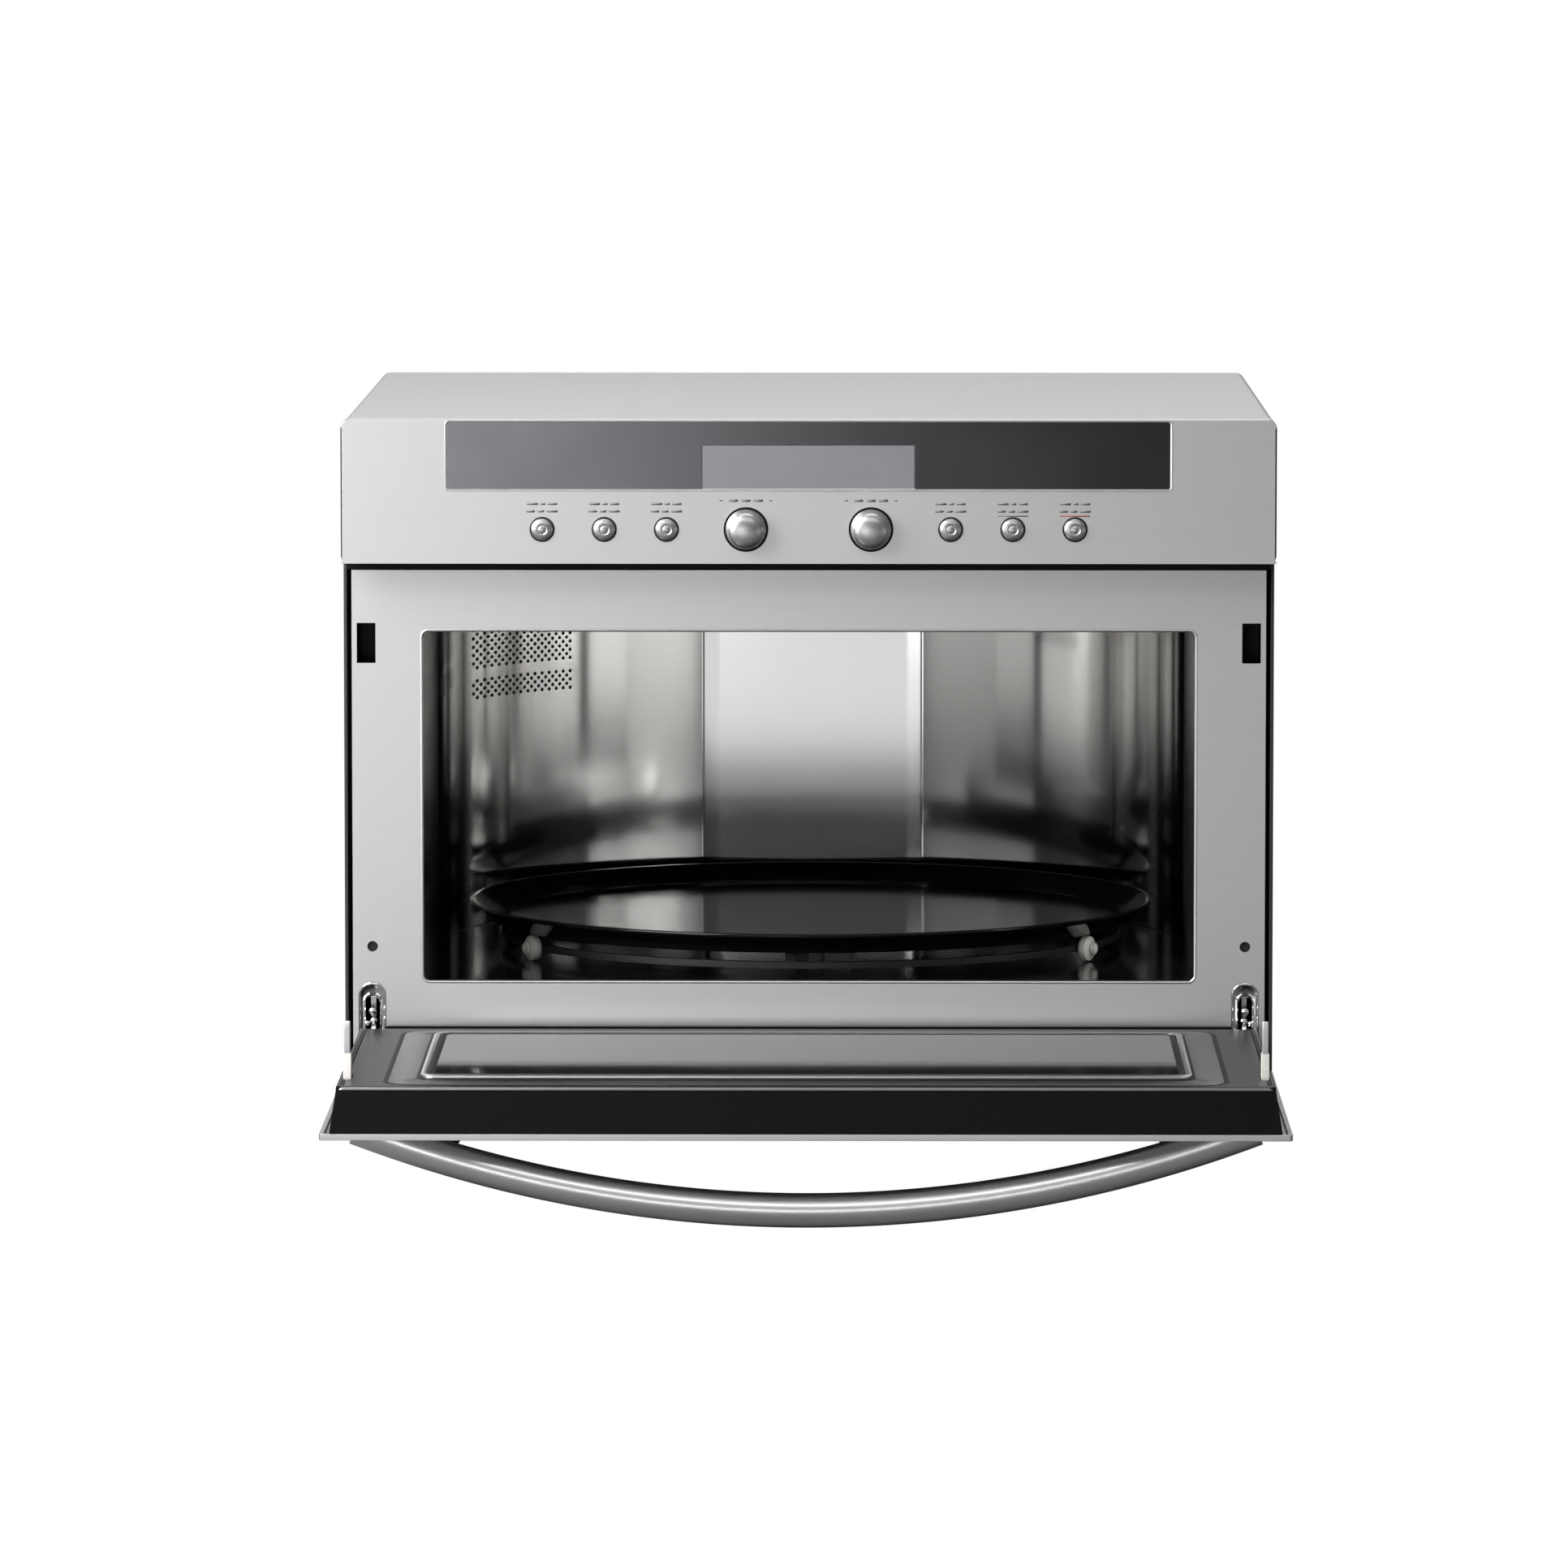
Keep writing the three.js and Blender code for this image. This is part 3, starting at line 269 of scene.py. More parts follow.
def cut_and_cap(bm, place, normal):
    """Drops what lies past a plane and closes the cut."""
    bmesh.ops.holes_fill(bm, edges=cut(bm, place, normal, drop=True), sides=0)


def refined(node, bevel):
    """A finer copy of a CAD node: flat faces are made whole and hard edges get a small round."""
    bm = cad_copy(node)
    merge_flats(bm)
    round_edges(bm, bevel, 2)
    even_shading(finish_piece(bm, node + "_shape", node, material=OWN_FINISH.get(node)))


def lathe(profile, steps, place, turn=Matrix.Identity(4)):
    """A closed profile of (radius, height) in mm turned about Z, then turned and placed."""
    bm = bmesh.new()
    rings = []
    for r, h in profile:
        if r < SAME_POINT:
            rings.append([bm.verts.new((0, 0, h * MM))])
            continue
        angles = [2 * math.pi * i / steps for i in range(steps)]
        rings.append([bm.verts.new((r * MM * math.cos(a), r * MM * math.sin(a), h * MM)) for a in angles])
    for low, high in zip(rings, rings[1:]):
        for i in range(steps):
            j = (i + 1) % steps
            corners = [low[i % len(low)], low[j % len(low)], high[j % len(high)], high[i % len(high)]]
            unique = list(dict.fromkeys(corners))
            if len(unique) > 2:
                bm.faces.new(unique)
    bm.transform(Matrix.Translation(place) @ turn)
    bmesh.ops.recalc_face_normals(bm, faces=bm.faces)
    return bm


def arc(cx, cy, r, start, end, steps):
    """Points round (cx, cy), angles in degrees."""
    angles = [math.radians(start + (end - start) * i / steps) for i in range(steps + 1)]
    return [(cx + r * math.cos(a), cy + r * math.sin(a)) for a in angles]


def rounded_outline(x0, x1, y0, y1, r, steps=6):
    """Counter-clockwise outline of a rectangle with round corners."""
    return (arc(x1 - r, y0 + r, r, -90, 0, steps) + arc(x1 - r, y1 - r, r, 0, 90, steps)
            + arc(x0 + r, y1 - r, r, 90, 180, steps) + arc(x0 + r, y0 + r, r, 180, 270, steps))


def strip(bm, loops, closed=True):
    """Joins loops of equal length with quads, and returns the loops as vertices."""
    rows = [[bm.verts.new(p) for p in loop] for loop in loops]
    for a, b in zip(rows, rows[1:]):
        count = len(a) if closed else len(a) - 1
        for i in range(count):
            j = (i + 1) % len(a)
            bm.faces.new((a[i], a[j], b[j], b[i]))
    return rows


def skin(name, node, loops, slot=None, material=None, smooth=40, closed=True, caps=False, replaces=False):
    """A piece made of loops joined with quads. With caps, its first and last loops are filled."""
    bm = bmesh.new()
    rows = strip(bm, loops, closed)
    if caps:
        bm.faces.new(rows[0])
        bm.faces.new(rows[-1][::-1])
    bmesh.ops.recalc_face_normals(bm, faces=bm.faces)
    finish_piece(bm, name, node, slot, material, smooth, replaces)


# ---------------------------------------------------------------- turntable
def make_tray():
    """Deep round tray: a rolled lip, a sloping band and a flat well."""
    low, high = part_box("tray")
    r = (high.x - low.x) / 2 / MM
    h = (high.z - low.z) / MM
    outside = [(0, 0), (r - 14, 0), (r - 12, 0.6), (r - 3.2, h - 3.4), (r - 0.9, h - 2.6), (r, h - 1.4)]
    lip = [(r - 0.2, h - 0.5), (r - 1.0, h), (r - 2.2, h - 0.2), (r - 3.4, h - 1.3)]
    inside = [(r - 11.6, 4.6), (r - 13.2, 4.2), (r - 15.5, 2.7), (r - 18, 2.1), (r - 24, 2.0), (0, 2.0)]
    place = middle("tray")
    place.z = low.z
    finish_piece(lathe(outside + lip + inside, 180, place), "glossy_tray", "tray", smooth=50)


def axle_turn(node):
    """Turns a lathe's +Z along the roller's axle, away from the tray's middle."""
    axle = middle(node) - middle("tray")
    axle.z = 0
    return axle.to_track_quat("Z", "Y").to_matrix().to_4x4()


def make_roller(node):
    """Wheel that widens from its outer rim to a rounded tread."""
    low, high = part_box(node)
    r = (high.z - low.z) / 2 / MM
    profile = [(1.9, -3), (5.4, -3), (6.6, -2.7), (7.2, -1.8), (r, -0.6), (r, 0.6), (7.0, 1.5), (5.4, 2.3),
               (3.9, 2.8), (1.9, 3), (1.9, -3)]
    finish_piece(lathe(profile, 48, middle(node), axle_turn(node)), node + "_wheel", node, smooth=40)


def make_roller_cap(node):
    """Pale end cap on the ring's axle, outside the wheel."""
    profile = [(0, 3.4), (3.6, 3.4), (3.7, 3.8), (3.5, 4.9), (2.6, 5.5), (0, 5.6)]
    cap = lathe(profile, 28, middle(node), axle_turn(node))
    finish_piece(cap, node + "_end_cap", "roller_ring", "pale_nylon", smooth=40, replaces=False)


# ---------------------------------------------------------------- cavity
SHEET = 1.2
CAVITY_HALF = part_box("cavity_side_right")[0].x / MM  # half the width, and the radius of the round
WALL_LOW, WALL_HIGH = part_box("cavity_rear_wall")
ROUND_CENTRE = WALL_LOW.y  # metres
FLAT_DEPTH = (WALL_HIGH.y - ROUND_CENTRE) / MM - SHEET
FLAT_TURN = math.degrees(math.asin(FLAT_DEPTH / CAVITY_HALF))
ROUND_STEP = 3.0  # degrees from one facet of the round to the next
HOLE_PITCH = 4.1  # from column to column, seen from the mouth
HOLE_ROW = 2.5  # from row to row; every second row is shifted by half a pitch
HOLE_SHARE = 0.93  # of its cell
HOLE_RIM = 0.35  # how far a hole's rim turns back
SHADE_SHEET_GAP = 0.4  # from the wall's inner face to the black sheet of painted shade behind the holes
PATCH_TURN = (131.5, 157.6)  # degrees from +X, on the left of the round
PATCH_BANDS = ((26.0, 18), (76.5, 5))  # distance below the wall's top, and rows of holes


def wall_point(turn, rise, grow=0.0):
    """Point on the rear wall's inner face or grow mm behind it.

    The turn is in degrees from +X, and the rise in metres above the wall's foot.
    """
    r = CAVITY_HALF + grow
    depth = FLAT_DEPTH + grow
    a = math.radians(turn)
    x, y = r * math.cos(a), r * math.sin(a)
    if y > depth:
        x, y = depth / math.tan(a), depth
    return Vector((x * MM, ROUND_CENTRE + y * MM, WALL_LOW.z + rise))


def hole_columns():
    """Turns of the columns' edges, evenly spaced along X."""
    near, far = (CAVITY_HALF * math.cos(math.radians(turn)) for turn in PATCH_TURN)
    cells = round((near - far) / HOLE_PITCH)
    edges = [near + (far - near) * i / cells for i in range(cells + 1)]
    return [math.degrees(math.acos(x / CAVITY_HALF)) for x in edges]


def hole_bands():
    """Lower edge, upper edge and number of rows of each band, the edges in metres above the wall's foot."""
    height = WALL_HIGH.z - WALL_LOW.z
    return [(height - (drop + rows * HOLE_ROW) * MM, height - drop * MM, rows) for drop, rows in PATCH_BANDS]


def make_rear_wall():
    """Round-backed wall with two bands of punched holes at its left, and a black sheet of painted shade
    behind them.
    """
    columns = hole_columns()
    bands = hole_bands()
    facets = [i * ROUND_STEP for i in range(1, round(180 / ROUND_STEP))]
    turns = sorted({0.0, 180.0, FLAT_TURN, 180 - FLAT_TURN, *columns,
                    *[turn for turn in facets if not columns[0] - 1 < turn < columns[-1] + 1]})
    band_edges = [edge for low, high, _ in bands for edge in (low, high)]
    levels = sorted({0.0, WALL_HIGH.z - WALL_LOW.z, *band_edges})
    bm = bmesh.new()
    grid = {}

    def vertex(turn, rise, grow=0.0):
        key = (round(turn, 4), round(rise, 6), grow)
        if key not in grid:
            grid[key] = bm.verts.new(wall_point(turn, rise, grow))
        return grid[key]

    def is_punched(a, b, low, high):
        in_columns = columns[0] - 0.01 < a and b < columns[-1] + 0.01
        in_band = any(low > foot - SAME_POINT and high < top + SAME_POINT for foot, top, _ in bands)
        return in_columns and in_band

    for a, b in zip(turns, turns[1:]):
        for low, high in zip(levels, levels[1:]):
            if is_punched(a, b, low, high):
                continue
            corners = ((a, low), (b, low), (b, high), (a, high))
            bm.faces.new([vertex(turn, rise) for turn, rise in corners])
            bm.faces.new([vertex(turn, rise, SHEET) for turn, rise in reversed(corners)])
        for rise, flip in ((levels[0], False), (levels[-1], True)):
            ring = [vertex(a, rise), vertex(a, rise, SHEET), vertex(b, rise, SHEET), vertex(b, rise)]
            bm.faces.new(ring[::-1] if flip else ring)
    for low, high, rows in bands:
        row_height = (high - low) / rows
        for k in range(rows):
            punch_row(bm, vertex, columns, low + k * row_height, row_height, k % 2)
    bmesh.ops.remove_doubles(bm, verts=bm.verts, dist=SAME_POINT)
    bmesh.ops.reverse_faces(bm, faces=bm.faces)
    finish_piece(bm, "punched_rear_wall", "cavity_rear_wall", smooth=30)
    # painted shade: a black sheet just behind the holes makes them look dark
    shade_sheet = bmesh.new()
    for low, high, _ in bands:
        edges = [[wall_point(turn, rise, SHADE_SHEET_GAP) for turn in columns] for rise in (low, high)]
        strip(shade_sheet, edges, closed=False)
    finish_piece(shade_sheet, "vent_painted_shade", "cavity_rear_wall", "black_body", replaces=False)


def punch_row(bm, vertex, columns, low, height, shifted):
    """One row of cells: every second cell has a hole, and the rows alternate."""
    high = low + height
    for start, end in zip(columns, columns[1:]):
        mid = (start + end) / 2
        for half_cell, (a, b) in enumerate(((start, mid), (mid, end))):
            if (half_cell + shifted) % 2:
                bm.faces.new((vertex(a, low), vertex(b, low), vertex(b, high), vertex(a, high)))
            else:
                punch_cell(bm, vertex, a, b, low, height)


def punch_cell(bm, vertex, a, b, low, height):
    """A cell with an eight-sided hole whose rim turns back into the sheet."""
    ring, back = [], []
    for k in range(8):
        t = math.radians(45 * k + 22.5)
        turn = (a + b) / 2 + (b - a) / 2 * HOLE_SHARE * math.cos(t)
        rise = low + height / 2 + height / 2 * HOLE_SHARE * math.sin(t)
        ring.append(bm.verts.new(wall_point(turn, rise)))
        back.append(bm.verts.new(wall_point(turn, rise, HOLE_RIM)))
    corners = [vertex(b, low + height), vertex(a, low + height), vertex(a, low), vertex(b, low)]
    for q in range(4):
        first, second = ring[2 * q], ring[2 * q + 1]
        bm.faces.new((corners[q], second, first))
        bm.faces.new((corners[q], corners[(q + 1) % 4], ring[(2 * q + 2) % 8], second))
    for k in range(8):
        j = (k + 1) % 8
        bm.faces.new((ring[k], ring[j], back[j], back[k]))


# ---------------------------------------------------------------- door
# Outlines on the inner face, from the edge towards the glass: (x0, x1, up0, up1, corner radius)
GROOVE_OUT = (-229.8, 229.8, 18, 265, 18)
GROOVE_IN = (-227.2, 227.2, 20.5, 261, 15.5)
PLATE_IN = (-212, 212, 33.6, 246, 12)
RIDGE_OUT = (-210.6, 210.6, 34.6, 231.8, 9)
RIDGE_IN = (-207, 207, 39, 226.5, 6)
GLASS_EDGE = (-203.2, 203.2, 44, 219, 4)
GLASS_LIFT = 1.0
GLASS_THICKNESS = 2.5
BEAD_PROFILE = ((252.8, 266.6, 0.02), (253.4, 268.2, 0.06), (254.1, 269.3, -0.35), (254.5, 269.8, -1.2),
                (254.6, 269.9, -1.9))  # (x, up, lift)
BEAD_CORNER = 4
BEAD_START = 12  # up from the hinge's axis
HANDLE_INSET = 29.7  # from the door's side to the handle's middle line at its end


def door_point(x, up, lift=0.0):
    """Point on the open door's inner face: x and distance from the hinge's axis, and lift off the face."""
    return Vector((x * MM, HINGE.y - up * MM, DOOR_INSIDE + lift * MM))


def door_loop(outline, lift):
    return [door_point(x, up, lift) for x, up in rounded_outline(*outline, 8)]


def door_moulding(name, outer, inner, profile, slot=None, material=None):
    """A picture-frame moulding on the inner face: profile of (share of the way in, lift)."""
    loops = [door_loop([o + (i - o) * share for o, i in zip(outer, inner)], lift) for share, lift in profile]
    skin(name, "door_inner_panel", loops, slot, material)


def make_door_inside():
    """Inner face of the door: plate, ridge and seal round the inner glass, and painted shade for the groove
    and by the ridge.
    """
    refined("door_inner_panel", 0.2)
    # painted shade: a barely raised black strip stands in for the groove's shade
    door_moulding("groove_painted_shade", GROOVE_OUT, GROOVE_IN, [(0, 0.02), (0.2, 0.12), (0.8, 0.12), (1, 0.02)],
                  "black_body")
    door_moulding("inner_plate", GROOVE_IN, PLATE_IN, [(0, 0.0), (0.03, 0.3), (0.98, 0.3), (1, 0.0)],
                  material=PLATE_STEEL)
    door_moulding("ridge_shadow", PLATE_IN, RIDGE_OUT, [(0, 0.02), (0.3, 0.1), (1, 0.1)], "black_body")
    door_moulding("window_ridge", RIDGE_OUT, RIDGE_IN,
                  [(0, 0.0), (0.03, 1.0), (0.2, 1.4), (0.8, 1.4), (0.97, 1.1), (1, 0.0)],
                  "cavity_steel", BRIGHT_EDGE)
    door_moulding("window_seal", RIDGE_IN, GLASS_EDGE,
                  [(0, 0.05), (0.1, 0.9), (0.35, 1.1), (0.45, 0.9), (0.9, 0.9), (1, 0.7)], "black_plastic")
    skin("inner_glass", "door_inner_glass",
         [door_loop(GLASS_EDGE, GLASS_LIFT - GLASS_THICKNESS), door_loop(GLASS_EDGE, GLASS_LIFT)],
         smooth=30, caps=True, replaces=True)


def make_edge_bead():
    """Bright folded edge along the sides and the far end of the inner face."""
    rows = []
    for x, up, lift in BEAD_PROFILE:
        corner = arc(x - BEAD_CORNER, up - BEAD_CORNER, BEAD_CORNER, 0, 90, 6)
        path = [(x, BEAD_START), *corner, *[(-px, py) for px, py in reversed(corner)], (-x, BEAD_START)]
        rows.append([door_point(px, py, lift) for px, py in path])
    skin("edge_bead", "door_inner_panel", rows, "inner_door_steel", PLATE_STEEL, smooth=50, closed=False)


def make_handle():
    """Bowed tube whose ends run into the door's outer face."""
    low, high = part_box("handle")
    radius = (high.y - low.y) / 2
    rise = high.z - low.z - radius  # middle of the bow to the ends' cut
    half_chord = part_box("door_outer_panel")[1].x - HANDLE_INSET * MM
    bow = (half_chord ** 2 + rise ** 2) / (2 * rise)
    turn = math.asin(half_chord / bow) * 1.05  # runs a little past the cut
    centre = Vector((0, (low.y + high.y) / 2, low.z + radius + bow))
    steps, sides = 90, 32
    loops = []
    for i in range(steps + 1):
        a = turn * (2 * i / steps - 1)
        out = Vector((math.sin(a), 0, -math.cos(a)))
        loops.append([centre + out * (bow + radius * math.cos(t)) + Vector((0, radius * math.sin(t), 0))
                      for t in (2 * math.pi * k / sides for k in range(sides))])
    bm = bmesh.new()
    strip(bm, loops)
    cut_and_cap(bm, (0, 0, high.z), (0, 0, 1))
    bmesh.ops.recalc_face_normals(bm, faces=bm.faces)
    finish_piece(bm, "bow_handle", "handle", material=HANDLE_STEEL, smooth=50)


# ---------------------------------------------------------------- controls
LABEL_RISE = 10.2  # above the middle of a button
LABEL_ROWS = ((0.0, (5.0, 4.0, 6.4)), (4.2, (6.4, 3.0, 5.4)))  # rise, and the bars' widths
LABEL_GAP = 1.2
UNDERLINE_RISE = 7.6
UNDERLINED = ((5, "black_body"), (6, "display_film"))  # button, and the line's slot
KNOB_LABEL_RISE = 16.3
INK = 0.03  # thickness of a printed bar


def on_fascia(node):
    place = middle(node)
    place.y = FASCIA_LOW.y
    return place


def ring_round(node, suffix, profile, slot):
    """A turned ring on the fascia round a knob or a button."""
    ring = lathe(profile, 56, on_fascia(node), OUTWARDS)
    finish_piece(ring, node + suffix, "control_fascia", slot, smooth=40, replaces=False)


def make_knob(node):
    """Domed rotary knob over a plain skirt, in a dark shadow ring."""
    cap = [(0, 0.4), (11.4, 0.4), (11.4, 1.0), (11.2, 1.5), (10.9, 1.8), (10.8, 2.2), (10.7, 6.4),
           (10.3, 8.2), (9.5, 9.6), (8.2, 10.6), (6.4, 11.3), (4.2, 11.75), (2.0, 11.95), (0, 12)]
    finish_piece(lathe(cap, 72, on_fascia(node), OUTWARDS), node + "_cap", node, smooth=32)
    shadow = [(11.5, 0), (12.6, 0), (12.6, 0.3), (12.3, 0.6), (11.8, 0.6), (11.5, 0.3), (11.5, 0)]
    ring_round(node, "_shadow", shadow, "black_body")


def make_button(node):
    """Domed push button with a dimple, in a turned bezel."""
    cap = [(0, -4.2), (6.2, -4.2), (6.2, 1.0), (6.0, 1.7), (5.3, 2.3), (4.2, 2.7), (3.1, 2.85), (2.8, 2.6),
           (2.4, 2.5), (2.0, 2.65), (1.2, 2.9), (0, 3.0)]
    finish_piece(lathe(cap, 56, on_fascia(node), OUTWARDS), node + "_cap", node, smooth=35)
    bezel = [(6.4, -0.4), (6.4, 0.3), (6.6, 0.5), (6.9, 0.5), (7.1, 0.25), (7.1, -0.4), (6.4, -0.4)]
    ring_round(node, "_bezel", bezel, "black_plastic")


def dash(name, place, across, rise, width, height, slot="black_body"):
    """A small printed bar on the fascia, standing in for a label; across and rise are from the place."""
    bm = bmesh.new()
    outline = rounded_outline(-width / 2, width / 2, -height / 2, height / 2, height * 0.45, 3)
    points = [place + Vector(((across + x) * MM, -INK * MM, (rise + z) * MM)) for x, z in outline]
    bm.faces.new([bm.verts.new(point) for point in points])
    piece = finish_piece(bm, name, "control_fascia", slot, MARK_FINISH[slot], replaces=False)
    mod = piece.modifiers.new("thickness", "SOLIDIFY")
    mod.thickness = INK * MM
    mod.offset = 0


def make_labels():
    """Two rows of short bars over each button, and arrows beside bars over each knob."""
    for i in range(1, 7):
        place = on_fascia(f"button_{i}")
        for row, (rise, widths) in enumerate(LABEL_ROWS):
            start = -(sum(widths) + LABEL_GAP * (len(widths) - 1)) / 2
            for k, width in enumerate(widths):
                dash(f"label_{i}_{row}_{k}", place, start + width / 2, LABEL_RISE + rise, width, 1.3)
                start += width + LABEL_GAP
    for i, slot in UNDERLINED:
        dash(f"underline_{i}", on_fascia(f"button_{i}"), 0, UNDERLINE_RISE, 17, 0.7, slot)
    for name, _ in SIDES:
        place = on_fascia(f"knob_{name}")
        for k in (-1, 0, 1):
            dash(f"label_knob_{name}_{k + 1}", place, k * 7, KNOB_LABEL_RISE, 5.4, 1.5)
        for hand in (-1, 1):
            dash(f"arrow_knob_{name}_{hand + 1}", place, hand * 14, KNOB_LABEL_RISE, 2.0, 0.8)


# ---------------------------------------------------------------- hinges and latches
ARCH_TOP = 33.4  # above the hinge's axis
ARCH_FOOT = 2.5  # above the front frame's lower edge
ARCH_RADIUS = 7.7
ARCH_NARROWING = 3.6  # how much smaller the inner radius is
ARCH_CENTRE = 7.85  # from the arch's top down to its outer centre
ARCH_STEP = 4.6  # from the outer centre down to the inner one
ARCH_PROFILE = ((0.0, -6), (0.0, -0.1), (0.06, 0.25), (0.16, 0.2), (0.3, -0.5), (0.62, -1.4), (0.86, -1.0),
                (1.0, -1.6), (1.0, -7))  # (share of the way in, lift)
STUDS = ((0, 16.5, 2.3), (0.6, 11, 2.1), (-3.2, 9.5, 1.7))  # (across, rise, radius)
STUD_SINK = 2.5  # below the frame's face, so that the shut door clears them
HOOK_ROOT = 13.5  # height of the hook's white root above the door's inner face
# (name, side of the cut that is dropped, cut's distance below the root's end, slot, share of the width)
HOOK_PARTS = (("root", 1, 0.0, "pale_nylon", 1.0), ("blade", -1, 0.3, "zinc", 0.74))
HOLE_INSET = 15.7  # from the fascia's side to the small round hole
HOLE_HEIGHT = 126.7


def make_hinge_arch(name, side):
    """Bright pressed arch set into the hinge slot, with a narrower opening for the arm."""
    x = middle(f"hinge_leaf_{name}").x
    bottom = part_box("front_frame")[0].z + ARCH_FOOT * MM
    rows = []
    for share, lift in ARCH_PROFILE:
        r = (ARCH_RADIUS - ARCH_NARROWING * share) * MM
        centre = HINGE.z + (ARCH_TOP - ARCH_CENTRE - ARCH_STEP * share) * MM
        path = [(x + r, bottom), *arc(x, centre, r, 0, 180, 20), (x - r, bottom)]
        rows.append([Vector((px, FACE - lift * MM, pz)) for px, pz in path])
    skin(f"hinge_arch_{name}", "front_frame", rows, "chrome", closed=False)
    for k, (across, rise, size) in enumerate(STUDS):
        stud = [(0, 0), (size, 0), (size, 0.8), (size * 0.8, 1.5), (size * 0.4, 1.9), (0, 2)]
        place = Vector((x - side * across * MM, FACE + STUD_SINK * MM, HINGE.z + rise * MM))
        finish_piece(lathe(stud, 24, place, OUTWARDS), f"hinge_rivet_{name}_{k}", "front_frame", "chrome",
                     smooth=50, replaces=False)


def make_hook(name):
    """Latch hook: a thick white root, and a narrower grey blade that starts just inside it."""
    node = f"latch_hook_{name}"
    centre = middle(node).x
    for part, dropped, overlap, slot, width in HOOK_PARTS:
        bm = cad_copy(node)
        cut_and_cap(bm, (0, 0, DOOR_INSIDE + (HOOK_ROOT - overlap) * MM), (0, 0, dropped))
        for vert in bm.verts:
            vert.co.x = centre + (vert.co.x - centre) * width
        merge_flats(bm)
        round_edges(bm, 0.4, 3)
        bmesh.ops.recalc_face_normals(bm, faces=bm.faces)
        even_shading(finish_piece(bm, f"{node}_{part}", node, slot))


def make_hole_cup(name, side):
    """Black cup behind the small round hole at the side of the mouth."""
    place = Vector((side * (FASCIA_HIGH.x - HOLE_INSET * MM), FACE, HOLE_HEIGHT * MM))
    cup = [(0, -1.5), (3.6, -1.5), (3.6, -1.2), (2.97, -1.1), (2.97, -0.25), (2.8, -0.25), (2.8, -1.3),
           (0, -1.3)]
    finish_piece(lathe(cup, 32, place, OUTWARDS), f"hole_cup_{name}", "front_frame", "black_plastic",
                 smooth=30, replaces=False)


# ---------------------------------------------------------------- front frame and fascia
MOUTH_SILL = 2.1  # from the cavity floor's top to the mouth's lower edge
MOUTH_HEADER = 40.1  # from the mouth's upper edge to the fascia
MOUTH_CORNER = 4
LIP_PROFILE = ((0.9, 0.0), (0.7, 0.25), (0.1, 0.35), (-0.5, 0.1), (-0.8, -0.6), (-0.8, -2.4))  # (grow, lift)
RIM_PROFILE = ((1.3, -0.05), (1.1, 0.25), (0.8, 0.3), (-0.5, -0.15), (-0.5, -0.6))
RIM_TOP = 0.5  # the most that the glass's rim grows upwards
RIM_CORNER = 1.6
END_INSET = 0.9  # how far the fascia's ends are drawn in
HIGHLIGHT_BAND_DEPTH = 17  # depth of the painted highlight band along the fascia's top
FASCIA_ROUND = 2.2  # the full round, at the ends
SHADOW_PROFILE = ((2.5, 2.2), (0.1, 2.2), (0.0, 2.4), (0.0, 4.0), (2.5, 4.0))  # (inset, depth)
SHADOW_CORNER = 4.2
SHADOW_DROP = 0.3  # keeps the painted shade line inside the fascia's top and bottom
EDGE_PROFILE = ((0, 0.6), (0, -0.1), (0.3, -0.3), (1.7, -0.3), (1.9, -0.1), (1.9, 0.6))  # (inset, depth) of the painted shade strip down the cover's front edges


def front_loop(x0, x1, z0, z1, corner, y, steps=6):
    """A rounded rectangle in mm, upright at depth y in metres."""
    return [Vector((x * MM, y, z * MM)) for x, z in rounded_outline(x0, x1, z0, z1, corner, steps)]


def make_mouth_lip():
    """Rounded bright edge round the mouth of the cavity."""
    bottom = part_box("cavity_floor")[1].z / MM + MOUTH_SILL
    top = FASCIA_LOW.z / MM - MOUTH_HEADER
    loops = [front_loop(-CAVITY_HALF - grow, CAVITY_HALF + grow, bottom - grow, top + grow,
                        MOUTH_CORNER + grow, FACE - lift * MM) for grow, lift in LIP_PROFILE]
    skin("mouth_lip", "front_frame", loops, "stainless", BRIGHT_EDGE, smooth=50)


def make_glass_rim():
    """Narrow chamfer that frames the display glass."""
    low, high = (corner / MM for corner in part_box("display_glass"))
    loops = [front_loop(low.x - grow, high.x + grow, low.z - grow, high.z + min(grow, RIM_TOP),
                        RIM_CORNER + grow / 2, FASCIA_LOW.y - lift * MM, 4) for grow, lift in RIM_PROFILE]
    skin("glass_rim", "control_fascia", loops, "stainless", BRIGHT_EDGE, smooth=30)


def fascia_weight(edge):
    """Share of the full round that a hard edge of the fascia gets."""
    a, b = (vert.co for vert in edge.verts)
    mid = (a + b) / 2
    if max(a.y, b.y) > FASCIA_LOW.y + 0.01 * MM:
        return 0.1  # edges that run back, or lie behind the face
    if abs(mid.x) > FASCIA_HIGH.x - 5.2 * MM:
        return 1.0  # ends
    if mid.z > FASCIA_HIGH.z - 0.2 * MM:
        return 0.32  # top, which is close to the glass
    return 0.5 if mid.z < FASCIA_LOW.z + 1.5 * MM else 0.12  # bottom, and openings


